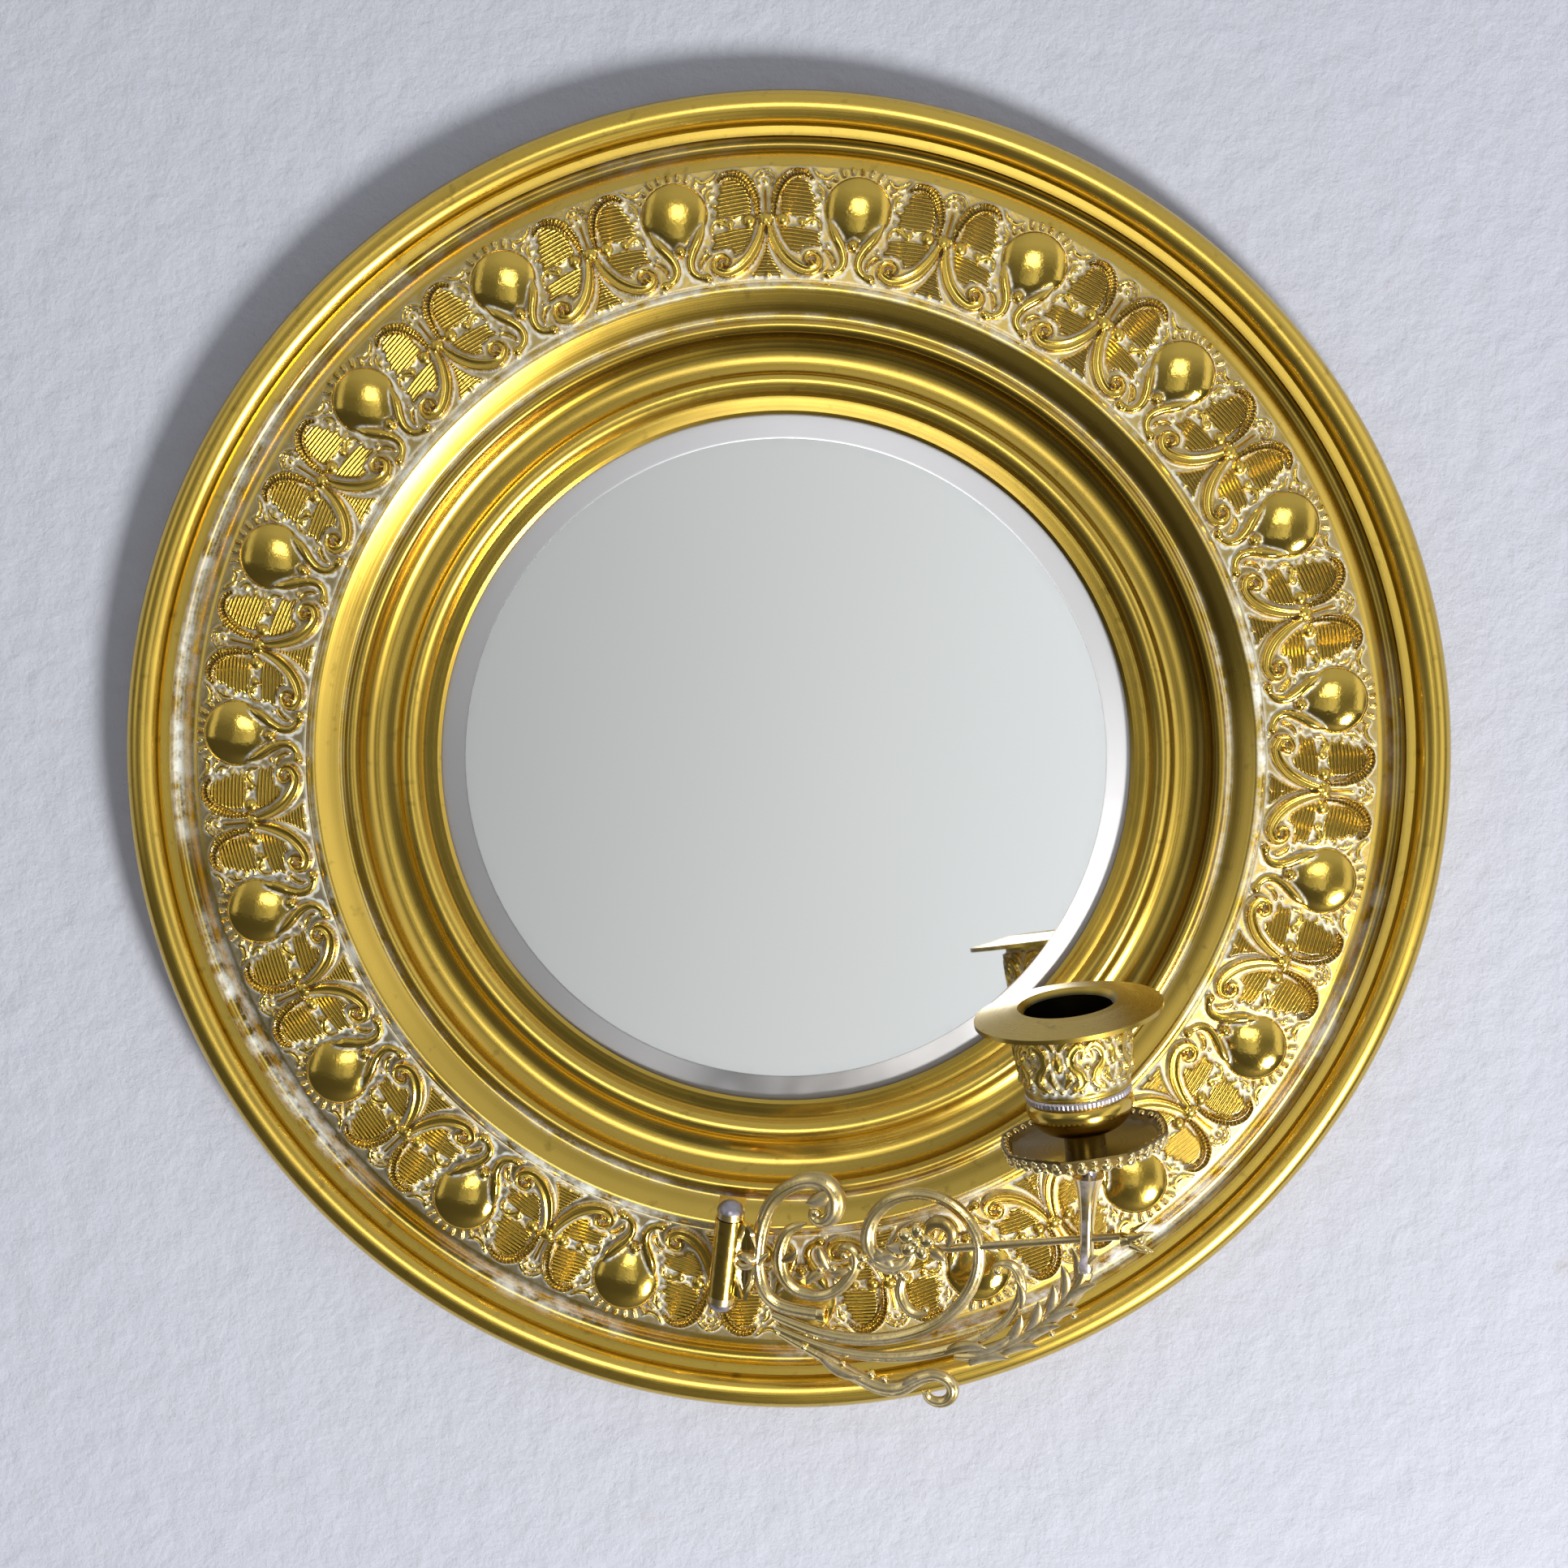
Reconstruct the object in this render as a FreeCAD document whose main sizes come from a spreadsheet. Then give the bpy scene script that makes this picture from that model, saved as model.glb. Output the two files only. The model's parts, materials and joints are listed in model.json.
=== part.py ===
import FreeCAD
import Part
import Sketcher
import math
import os

# Round pressed-brass wall mirror with one candle arm that swings on a pin at its foot.
# Millimetres. +Z is up, the wall is the plane Y = 0 and the mirror faces -Y.
# The origin is the middle of the wooden back, on the wall.
# Three frames carry the pieces:
#   wall frame    X right, Y up, Z out of the wall; every piece turned about the mirror's centre
#   hinge frame   Z along the hinge pin, Y into the plate; tipped forward as the embossed band slopes
#   candle frame  Z along the candle, set back in the arm's plane, so that the candle stands
#                 upright when the arm points straight out from the wall

# ---------------------------------------------------------------------------------------
# Driving dimensions: alias, value, meaning. "height" is measured out from the wall.

SIZES = (
    ("sheet", 0.8, "thickness of the plate's brass"),
    ("glass_radius", 97.0, "mirror glass, paper and board"),
    ("lip_overlap", 3.5, "plate's lip over the edge of the glass"),
    ("glass_gap", 0.1, "clearance in front of the glass"),
    ("torus_inset", 2.4, "from the glass's edge out to the round moulding"),
    ("torus_width", 5.4, "round moulding by the mirror"),
    ("torus_height", 13.4, "height of its edges"),
    ("shallow_width", 5.1, "side of the deep cove towards the mirror"),
    ("shallow_curve", 8.0, "radius of that side"),
    ("deep_cove_height", 12.2, "bottom of the deep cove"),
    ("deep_cove_width", 5.5, "steep side of the deep cove"),
    ("deep_cove_curve", 6.0, "radius of the steep side"),
    ("inner_bead_width", 3.4, "round bead outside the deep cove"),
    ("groove_width", 2.2, "groove outside that bead"),
    ("groove_height", 18.5, "bottom of that groove"),
    ("slope_width", 4.9, "plain slope up to the raised line"),
    ("fillet_width", 2.9, "raised line inside the band"),
    ("band_in_height", 20.9, "inner edge of the embossed band"),
    ("band_width", 31.5, "embossed band"),
    ("band_out_height", 14.2, "outer edge of the band"),
    ("rise_width", 3.3, "slope outside the band"),
    ("cove_width", 4.1, "outer cove"),
    ("step_width", 2.5, "flat outside the cove"),
    ("step_height", 12.0, "height of that flat"),
    ("rim_inset", 5.2, "from the flat out to the middle of the rolled rim"),
    ("bead_radius", 4.6, "outside radius of the rolled rim's tube"),
    ("bead_height", 9.0, "middle of the rolled rim"),
    ("glass_thick", 4.0, "mirror glass"),
    ("glass_back", 7.0, "height of the silvered back"),
    ("bevel_width", 10.0, "bevel round the glass"),
    ("bevel_drop", 1.4, "glass ground away at its edge"),
    ("paper_thick", 0.4, "backing paper"),
    ("rebate_width", 11.0, "rebate round the board for the clips"),
    ("rebate_depth", 1.2, "depth of that rebate"),
    ("clip_count", 8, "clips round the board"),
    ("clip_width", 10.0, "width of a clip"),
    ("clip_thick", 0.8, "thickness of a clip"),
    ("clip_gap", 0.3, "clearance from a clip to the board's edge"),
    ("clip_fold", 8.0, "length of the folded foot"),
    ("solder", 0.1, "solder between a soldered piece and the plate"),
    ("hanger_along", 17.6, "middle of the hanging strap, down the band from its inner edge"),
    ("hanger_width", 20.0, "soldered strap, across"),
    ("hanger_length", 12.0, "soldered strap, up the slope"),
    ("hanger_thick", 1.2, "soldered strap"),
    ("eye_outer", 2.7, "outside radius of the eye"),
    ("eye_bore", 1.4, "bore of the eye"),
    ("eye_length", 4.0, "length of the eye"),
    ("ring_radius", 9.0, "hanging ring, to the middle of its wire"),
    ("ring_wire", 1.0, "radius of the ring's wire"),
    ("hinge_along", 1.4, "hinge middle, down the band from its inner edge"),
    ("hinge_standoff", 13.7, "hinge axis, out from the band's face"),
    ("pin_radius", 1.75, "hinge pin"),
    ("pin_fit", 0.05, "clearance round the pin"),
    ("barrel_radius", 3.9, "barrel of the arm"),
    ("barrel_half", 11.3, "half the length of that barrel"),
    ("ear_gap", 0.2, "clearance between the barrel and an ear"),
    ("ear_thick", 2.0, "ears of the bracket"),
    ("ear_radius", 3.6, "rounded ends of the ears"),
    ("spine_near", 6.4, "bracket's upright, from the axis to its front"),
    ("spine_thick", 3.0, "bracket's upright"),
    ("pad_top", 0.0, "upper end of the foot on the band"),
    ("pad_bottom", 15.4, "lower end of the foot, below the hinge middle"),
    ("pad_thick", 2.4, "foot of the bracket"),
    ("pad_width", 7.4, "foot of the bracket"),
    ("screw_radius", 1.9, "bracket screws"),
    ("screw_fit", 0.25, "clearance round a screw in the plate"),
    ("thread_fit", 0.02, "clearance round a screw in its tapped hole"),
    ("screw_high", 2.4, "upper screw, below the hinge middle"),
    ("screw_low", 11.6, "lower screw, below the hinge middle"),
    ("boss_radius", 3.7, "bosses of the foot round the screws"),
    ("boss_thick", 5.0, "height of those bosses"),
    ("screw_depth", 3.6, "length of thread in the bracket"),
    ("screw_head_radius", 3.6, "heads behind the plate"),
    ("screw_head", 2.2, "height of those heads"),
    ("washer_radius", 4.5, "washers behind the plate"),
    ("washer_thick", 0.8, "washers behind the plate"),
    ("head_radius", 3.8, "domed heads of the pin"),
    ("head_height", 2.8, "domed heads of the pin"),
    ("head_dome", 3.6, "radius of the domes"),
    ("head_flat", 0.8, "radius of the flat at the top of a dome"),
    ("arm_swing", 16.0, "degrees that the arm stands out from the plate at rest"),
    ("leaf_reach", 8.4, "outer edge of the barrel's leaf plate"),
    ("leaf_half", 10.4, "half the length of that plate"),
    ("leaf_thick", 2.4, "that plate"),
    ("scallop_radius", 2.3, "scallops of its edge"),
    ("scallop_count", 5, "scallops of its edge"),
    ("upper_rod", 2.0, "radius of the upper scroll"),
    ("inner_rod", 1.6, "radius of the inner scroll"),
    ("great_rod", 1.7, "radius of the great scroll"),
    ("lower_rod", 1.4, "radius of the lower scroll"),
    ("curl_rod", 1.2, "radius of the small curl"),
    ("tail_rod", 1.6, "radius of the tail scroll"),
    ("branch_rod", 2.0, "radius of the leafy branch"),
    ("leaf_sheet", 1.4, "thickness of the branch's leaves"),
    ("rosette_radius", 5.4, "rosette, over its petals"),
    ("rosette_thick", 3.0, "rosette"),
    ("petal_radius", 2.0, "round end of a petal"),
    ("petal_count", 6, "petals of the rosette"),
    ("cross_start", 1.25, "radius of the cross rod at the rosette"),
    ("cross_end", 1.0, "radius of the cross rod at its tip"),
    ("cross_fit", 0.05, "clearance round the cross rod"),
    ("finial_radius", 3.0, "crown tip"),
    ("finial_length", 7.2, "crown tip"),
    ("stem_foot", 2.7, "radius of the stem's foot"),
    ("stem_waist", 2.3, "narrowest part of the stem"),
    ("waist_height", 15.0, "height of that part"),
    ("stem_top", 4.1, "top of the stem's trumpet"),
    ("stem_flare", 40.0, "radius of the trumpet's flare"),
    ("candle_lean", 14.6, "degrees from the pin to the candle, away from the arm"),
    ("collar_height", 2.6, "collar at the stem's top"),
    ("collar_radius", 4.8, "collar at the stem's top"),
    ("pan_radius", 22.8, "drip pan"),
    ("pan_wall", 1.2, "drip pan's thickness"),
    ("pan_floor", 5.8, "top of the pan's floor, above the stem"),
    ("pan_rim", 9.1, "pan's edge, above the stem"),
    ("pan_skirt", 3.9, "depth of the ornamental border"),
    ("pan_hub", 6.0, "seat of the pan on the stem"),
    ("bulb_foot", 5.4, "neck under the bulb"),
    ("bulb_neck", 4.4, "height of that neck"),
    ("bulb_height", 13.9, "bulb with its neck"),
    ("bulb_bulge", 0.6, "widest part of the bulb, beyond the cup's foot"),
    ("bulb_curve", 7.8, "radius of the bulb's belly"),
    ("shoulder_height", 2.5, "from the widest part up to the ring"),
    ("shoulder_inset", 0.8, "top of the bulb, in from the cup's foot"),
    ("cup_ring_bulge", 0.5, "bright ring, beyond the cup's foot"),
    ("cup_ring_height", 2.0, "bright ring under the cup"),
    ("cup_height", 21.4, "embossed cup"),
    ("cup_gap", 0.3, "clearance round the nozzle at the cup's foot"),
    ("cup_flare", 1.2, "widening of the cup up to its mouth"),
    ("cup_wall", 0.8, "wall of the cup"),
    ("cup_floor", 1.4, "floor of the cup"),
    ("candle_radius", 11.5, "bore of the nozzle"),
    ("nozzle_wall", 0.8, "wall of the nozzle"),
    ("nozzle_depth", 16.0, "length of the nozzle's tube"),
    ("mouth_flare", 1.6, "rounding of the nozzle's mouth, outwards"),
    ("mouth_height", 1.6, "top of that mouth, above the cup"),
    ("flange_reach", 10.0, "wide flange of the nozzle, beyond the cup's mouth"),
    ("flange_thick", 1.2, "flange of the nozzle"),
    ("flange_drop", 1.7, "fall of the flange towards its edge"),
    ("stack_radius", 2.0, "stack screw"),
    ("stack_fit", 0.1, "clearance round the stack screw"),
    ("stack_head_radius", 4.0, "head of the stack screw"),
    ("stack_head", 1.0, "head of the stack screw"),
    ("stack_thread", 5.0, "length of the stack screw in the stem"),
)

# Routes of the scrolls in the arm's plane: distance out from the pin, height along the pin.
UPPER = ((23.7, 18.3), (26.9, 20.0), (29.5, 23.5), (27.8, 27.7), (23.1, 28.3), (16.8, 25.5),
         (11.9, 20.8), (9.4, 13.7), (8.7, 5.5), (9.4, -3.1), (12.7, -9.1), (19.1, -11.3), (28.7, -9.9))
INNER = ((21.0, 15.7), (17.4, 12.3), (15.2, 7.4), (15.1, 2.0), (17.1, -2.6), (21.0, -5.3), (27.2, -5.2),
         (32.2, -2.1), (35.6, 3.2), (36.7, 7.8), (35.0, 11.1), (31.7, 10.7))
GREAT = ((15.1, -13.6), (23.3, -15.2), (33.8, -15.5), (44.3, -13.7), (55.0, -8.9), (62.9, -2.4), (68.0, 5.6),
         (70.0, 13.6), (69.3, 21.3), (65.4, 27.6), (58.9, 31.3), (51.1, 31.4), (43.6, 27.8), (39.2, 21.3),
         (38.5, 14.7), (41.0, 9.8), (46.0, 8.1), (50.9, 10.4))
LOWER = ((16.2, -17.1), (23.8, -18.6), (33.2, -19.5), (43.9, -18.7), (55.8, -15.4), (66.6, -10.0),
         (75.2, -3.6), (80.9, 3.6), (82.7, 10.9), (80.5, 16.7), (76.6, 17.7), (74.1, 15.4))
CURL = ((49.9, 6.8), (50.6, 1.8), (53.3, -2.5), (57.4, -4.2))
TAIL = ((18.2, -20.3), (25.0, -21.8), (32.8, -23.0), (40.7, -25.7), (47.0, -27.4), (52.9, -25.7),
        (57.4, -21.8), (62.2, -19.4), (66.4, -20.5), (67.1, -24.2), (64.6, -26.8), (61.4, -25.9))
BRANCH_START = ((66.4, -12.4), (70.4, -11.8), (75.2, -9.4), (80.4, -5.6), (85.8, -0.8), (90.8, 4.6),
                (94.8, 10.8), (97.4, 16.0))
STEM_FOOT = (98.6, 20.6)
STEM_HEAD = (95.4, 49.8)
ROSETTE = (52.5, 18.1)
CROSS_START = (54.0, 15.3)
CROSS_END = (107.0, 32.7)
# Leaves of the branch: root, tip and width.
BRANCH_LEAVES = (((82.0, -4.4), (83.4, 6.4), 4.8), ((90.4, 4.4), (91.8, 15.2), 4.6),
                 ((96.6, 14.0), (93.2, 24.4), 4.4), ((79.6, -6.4), (89.6, -5.4), 4.4),
                 ((88.0, 1.4), (97.4, 4.0), 4.4), ((97.6, 16.6), (102.2, 27.2), 4.6))

# Places from the middle of the mirror outwards, each on the one before it.
LIP = "glass_radius - lip_overlap"
TORUS_IN = "glass_radius + torus_inset"
TORUS_OUT = TORUS_IN + " + torus_width"
DEEP_COVE = TORUS_OUT + " + shallow_width"
INNER_BEAD = DEEP_COVE + " + deep_cove_width"
GROOVE_IN = INNER_BEAD + " + inner_bead_width"
GROOVE_OUT = GROOVE_IN + " + groove_width"
FILLET = GROOVE_OUT + " + slope_width"
BAND_IN = FILLET + " + fillet_width"
BAND_OUT = BAND_IN + " + band_width"
RISE = BAND_OUT + " + rise_width"
COVE = RISE + " + cove_width"
STEP = COVE + " + step_width"
RIM = STEP + " + rim_inset"
GLASS_FRONT = "glass_back + glass_thick"
LIP_FRONT = GLASS_FRONT + " + glass_gap + sheet"

# Radii of the candle's cup and of what fits to it.
CUP_FOOT = "candle_radius + nozzle_wall + cup_gap + cup_wall"
CUP_MOUTH = CUP_FOOT + " + cup_flare"
BULB_WIDE = CUP_FOOT + " + bulb_bulge"
BULB_TOP = CUP_FOOT + " - shoulder_inset"
STACK_BORE = "stack_radius + stack_fit"

V = FreeCAD.Vector
X_AXIS = V(1, 0, 0)
Y_AXIS = V(0, 1, 0)
Z_AXIS = V(0, 0, 1)
ALIASES = [row[0] for row in SIZES]

doc = FreeCAD.newDocument("girandole_mirror")
sheet = doc.addObject("Spreadsheet::Sheet", "sizes")
nodes = {}


def fill_sheet():
    for row, (alias, number, meaning) in enumerate(SIZES, 1):
        sheet.set("A%d" % row, meaning)
        sheet.set("B%d" % row, str(number))
        sheet.setAlias("B%d" % row, alias)
    doc.recompute()


# ---------------------------------------------------------------------------------------
# Sizes in words: a sum of products such as "glass_back + 2 * glass_thick - 0.5"

def number(word):
    return float(getattr(sheet, word)) if word in ALIASES else float(word)


def value(words):
    total = 0.0
    product = 1.0
    for word in words.split():
        if word in ("+", "-"):
            total += product
            product = 1.0 if word == "+" else -1.0
        elif word != "*":
            product *= number(word)
    return total + product


def formula(words):
    return " ".join("sizes." + word if word in ALIASES else word for word in words.split())


def at(x=0.0, y=0.0, z=0.0, axis=Z_AXIS, degrees=0.0):
    return FreeCAD.Placement(V(x, y, z), FreeCAD.Rotation(axis, degrees))


def node(label, piece, placement=None):
    """Names a finished piece, and puts it in its place."""
    piece.Label = label
    if placement is not None:
        piece.Placement = placement
    nodes[label] = piece
    return piece


# ---------------------------------------------------------------------------------------
# Sketches: each corner is (x, y) and a line to the next, or (x, y, radius, side) and an arc
# whose centre lies to the left (side 1) or to the right (side -1) of the way to the next corner

def arc_between(start, end, radius, side):
    chord = end - start
    left = V(-chord.y, chord.x, 0).normalize()
    rise = radius - math.sqrt(radius ** 2 - (chord.Length / 2) ** 2)
    return Part.Arc(start, start + chord / 2 - left * side * rise, end)


def bind(sketch, kind, words, *places):
    index = sketch.addConstraint(Sketcher.Constraint(kind, *places, value(words)))
    sketch.setExpression("Constraints[%d]" % index, formula(words))


def draw(sketch, corners, closed=True):
    count = len(corners) if closed else len(corners) - 1
    points = [V(value(c[0]), value(c[1]), 0) for c in corners]
    ends = []
    for i in range(count):
        start = points[i]
        end = points[(i + 1) % len(points)]
        curved = len(corners[i]) == 4
        line = arc_between(start, end, value(corners[i][2]), corners[i][3]) if curved else (
            Part.LineSegment(start, end))
        edge = sketch.addGeometry(line)
        ends.append((1, 2) if (sketch.getPoint(edge, 1) - start).Length < 1e-6 else (2, 1))
        if curved:
            bind(sketch, "Radius", corners[i][2], edge)
    for i, (x, y) in enumerate((c[0], c[1]) for c in corners):
        edge = i if i < count else count - 1
        place = ends[edge][0 if i < count else 1]
        if i > 0 and i < count or closed and i == 0:
            before = (i - 1) % count
            sketch.addConstraint(Sketcher.Constraint("Coincident", before, ends[before][1], edge, place))
        for kind, words, axis in (("DistanceX", x, -2), ("DistanceY", y, -1)):
            if abs(value(words)) < 1e-9:
                sketch.addConstraint(Sketcher.Constraint("PointOnObject", edge, place, axis))
            else:
                bind(sketch, kind, words, -1, 1, edge, place)


def plane_of(body, role):
    return next(f for f in body.Origin.OriginFeatures if f.Role == role)


def body_sketch(body, name, role):
    sketch = body.newObject("Sketcher::SketchObject", name)
    sketch.AttachmentSupport = (plane_of(body, role), [""])
    sketch.MapMode = "FlatFace"
    return sketch


def turned(label, corners, placement):
    """A piece turned about its own Z axis from an outline of (radius, height) corners."""
    body = doc.addObject("PartDesign::Body", label + "_body")
    sketch = body_sketch(body, label + "_outline", "XZ_Plane")
    draw(sketch, corners)
    revolution = body.newObject("PartDesign::Revolution", label + "_turning")
    revolution.Profile = sketch
    revolution.ReferenceAxis = (sketch, ["V_Axis"])
    revolution.Angle = 360
    return node(label, body, placement)


def pad(body, name, role, corners, thick):
    """A flat shape of the given thickness, half of it on each side of the plane."""
    sketch = body_sketch(body, name + "_outline", role)
    draw(sketch, corners)
    extrusion = body.newObject("PartDesign::Pad", name)
    extrusion.Profile = sketch
    extrusion.Midplane = True
    extrusion.setExpression("Length", formula(thick))
    return extrusion


# ---------------------------------------------------------------------------------------
# Primitives and booleans

def solid(kind, name, placement, **sizes):
    piece = doc.addObject("Part::" + kind, name)
    for key, words in sizes.items():
        piece.setExpression(key, formula(words))
    piece.Placement = placement
    return piece


def fuse(name, pieces):
    joined = doc.addObject("Part::MultiFuse", name)
    joined.Shapes = pieces
    return joined


def cut(name, base, tool):
    piece = doc.addObject("Part::Cut", name)
    piece.Base = base
    piece.Tool = tool
    return piece


def group(name, pieces):
    together = doc.addObject("Part::Compound", name)
    together.Links = pieces
    return together


# ---------------------------------------------------------------------------------------
# Rods along smooth routes

def heading(before, here, after):
    """Tangent at the middle one of three points, of the circle through them."""
    first = here - before
    second = after - here
    return (first / first.Length ** 2 + second / second.Length ** 2).normalize()


def smooth_route(points, last_heading=None):
    """Tangent arcs, two between each pair of points."""
    headings = [heading(*points[i - 1:i + 2]) for i in range(1, len(points) - 1)]
    first = points[1] - points[0]
    first.normalize()
    last = points[-1] - points[-2]
    last.normalize()
    headings.insert(0, first * (2 * first.dot(headings[0])) - headings[0])
    headings.append(last_heading or last * (2 * last.dot(headings[-1])) - headings[-1])
    edges = []
    for i in range(len(points) - 1):
        start, end, leave, arrive = points[i], points[i + 1], headings[i], headings[i + 1]
        chord = end - start
        both = leave + arrive
        a = 2 * (1 - leave.dot(arrive))
        b = 2 * chord.dot(both)
        c = -chord.dot(chord)
        reach = -c / b if abs(a) < 1e-6 else (-b + math.sqrt(b * b - 4 * a * c)) / (2 * a)
        join = (start + leave * reach + end - arrive * reach) / 2
        for p, q, way in ((start, join, leave), (join, end, None)):
            edges.append(tangent_arc(p, q, way) if way else tangent_arc(q, p, arrive * -1))
    return Part.Wire([e.toShape() for e in edges])


def tangent_arc(start, end, way):
    """The arc that leaves start along way and ends at end, or a line where they are in line."""
    chord = end - start
    side = way.cross(chord)
    if side.Length < 1e-4 * chord.Length:
        return Part.LineSegment(start, end)
    normal = side.cross(way).normalize()
    radius = chord.dot(chord) / (2 * chord.dot(normal))
    centre = start + normal * radius
    return Part.Arc(start, centre + (start + chord / 2 - centre).normalize() * radius, end)


def in_plane(pair):
    return V(pair[0], 0, pair[1])


def rod(name, radius, points, last_heading=None):
    """A round rod of the arm, along a route in its plane, as one sweep."""
    route = [in_plane(p) for p in points]
    wire = smooth_route(route, last_heading)
    path = doc.addObject("Part::Feature", name + "_route")
    path.Shape = wire
    section = doc.addObject("Part::Circle", name + "_section")
    section.setExpression("Radius", formula(radius))
    start = wire.OrderedEdges[0]
    first = start.FirstParameter
    along = start.tangentAt(first)
    if (start.valueAt(first) - route[0]).Length > 1e-6:
        along = start.tangentAt(start.LastParameter) * -1
    section.Placement = FreeCAD.Placement(route[0], FreeCAD.Rotation(Z_AXIS, along))
    sweep = doc.addObject("Part::Sweep", name + "_sweep")
    sweep.Sections = [section]
    sweep.Spine = (path, ["Edge%d" % (i + 1) for i in range(len(wire.Edges))])
    sweep.Solid = True
    sweep.Frenet = True
    sweep.Placement = ARM
    return sweep


# ---------------------------------------------------------------------------------------
# The three frames

fill_sheet()

WALL = at(axis=X_AXIS, degrees=90)
SLOPE = math.atan2(value("band_in_height - band_out_height"), value("band_width"))
LEAN = math.degrees(SLOPE)


def on_band(along, out):
    """Radius and height of a point down the band's slope and out from its face."""
    radius = value(BAND_IN) + along * math.cos(SLOPE) + out * math.sin(SLOPE)
    height = value("band_in_height") - along * math.sin(SLOPE) + out * math.cos(SLOPE)
    return radius, height


HINGE_RADIUS, HINGE_HEIGHT = on_band(value("hinge_along"), value("hinge_standoff"))
HINGE = at(0, -HINGE_HEIGHT, -HINGE_RADIUS, X_AXIS, LEAN)
ARM = HINGE * at(axis=Z_AXIS, degrees=-value("arm_swing"))
CANDLE_IN_ARM = at(STEM_HEAD[0], 0, STEM_HEAD[1], Y_AXIS, -value("candle_lean"))
CANDLE = ARM * CANDLE_IN_ARM


# ---------------------------------------------------------------------------------------
# Fixed pieces

def frame_plate():
    """Front line of the sheet from the rolled rim to the lip, thickened and turned."""
    section = doc.addObject("Sketcher::SketchObject", "plate_front")
    section.Placement = at(axis=X_AXIS, degrees=90)
    draw(section, (
        (RIM, "bead_height - bead_radius", "bead_radius", 1),
        (RIM + " + bead_radius", "bead_height", "bead_radius", 1),
        (RIM, "bead_height + bead_radius", "bead_radius", 1),
        (STEP + " + 1.0", "step_height - 1.1"),
        (STEP, "step_height"),
        (COVE, "step_height", "0.54 * cove_width", -1),
        (RISE, "step_height - 0.6"),
        (BAND_OUT + " + 1.0", "band_out_height - 0.6"),
        (BAND_OUT, "band_out_height"),
        (BAND_IN, "band_in_height", "0.7 * fillet_width", 1),
        (FILLET, "band_in_height + 0.3"),
        (GROOVE_OUT, "groove_height", "0.7 * groove_width", -1),
        (GROOVE_IN, "groove_height", "0.6 * inner_bead_width", 1),
        (INNER_BEAD, "groove_height - 0.5", "deep_cove_curve", -1),
        (DEEP_COVE, "deep_cove_height", "shallow_curve", -1),
        (TORUS_OUT, "torus_height", "0.6 * torus_width", 1),
        (TORUS_IN, "torus_height - 0.2"),
        (TORUS_IN + " - 1.0", "torus_height - 1.4"),
        (TORUS_IN + " - 1.8", "torus_height - 1.2"),
        (LIP + " + 1.0", LIP_FRONT + " + 0.6"),
        (LIP, LIP_FRONT),
    ), closed=False)
    thick = doc.addObject("Part::Offset2D", "plate_sheet")
    thick.Source = section
    thick.setExpression("Value", formula("sheet"))
    thick.Mode = 0
    thick.Join = 0
    thick.Fill = True
    spun = doc.addObject("Part::Revolution", "plate_spun")
    spun.Source = thick
    spun.Axis = Z_AXIS
    spun.Base = V(0, 0, 0)
    spun.Angle = 360
    spun.Solid = True
    spun.Placement = WALL
    holes = [screw_axis(name, "plate_hole_" + name, "screw_radius + screw_fit", "boss_thick",
                        "boss_thick - 3.0") for name in ("screw_high", "screw_low")]
    return node("frame_plate", cut("plate_drilled", spun, fuse("plate_holes", holes)))


def screw_axis(level, name, radius, length, start):
    """A cylinder on a bracket screw's axis, from start behind or before the band's face."""
    place = HINGE * at(0, value("hinge_standoff") - value(start), -value(level), X_AXIS, -90)
    return solid("Cylinder", name, place, Radius=radius, Height=length)


def mirror_glass():
    turned("mirror_glass", (
        ("0", "glass_back"),
        ("glass_radius", "glass_back"),
        ("glass_radius", GLASS_FRONT + " - bevel_drop"),
        ("glass_radius - bevel_width", GLASS_FRONT),
        ("0", GLASS_FRONT),
    ), WALL)


def back_layers():
    board_top = "glass_back - paper_thick"
    turned("backing_paper", (
        ("0", board_top),
        ("glass_radius", board_top),
        ("glass_radius", "glass_back"),
        ("0", "glass_back"),
    ), WALL)
    turned("backboard", (
        ("0", "0"),
        ("glass_radius - rebate_width", "0"),
        ("glass_radius - rebate_width", "rebate_depth"),
        ("glass_radius", "rebate_depth"),
        ("glass_radius", board_top),
        ("0", board_top),
    ), WALL)


def board_clips():
    wall_in = value("glass_radius + clip_gap")
    foot = value("rebate_depth - clip_thick")
    root = "torus_height - sheet - solder - 1.4"
    clips = []
    for i in range(int(value("clip_count"))):
        place = WALL * at(degrees=(i + 0.5) * 360 / value("clip_count"))
        wall = solid("Box", "clip_wall_%d" % i, place * at(wall_in, -value("clip_width") / 2, foot),
                     Length="clip_thick", Width="clip_width", Height=root + " - rebate_depth + clip_thick")
        fold = solid("Box", "clip_fold_%d" % i,
                     place * at(wall_in - value("clip_fold"), -value("clip_width") / 2, foot),
                     Length="clip_fold + clip_thick", Width="clip_width", Height="clip_thick")
        clips.append(fuse("clip_%d" % i, [wall, fold]))
    node("board_clips", group("clips", clips))


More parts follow.
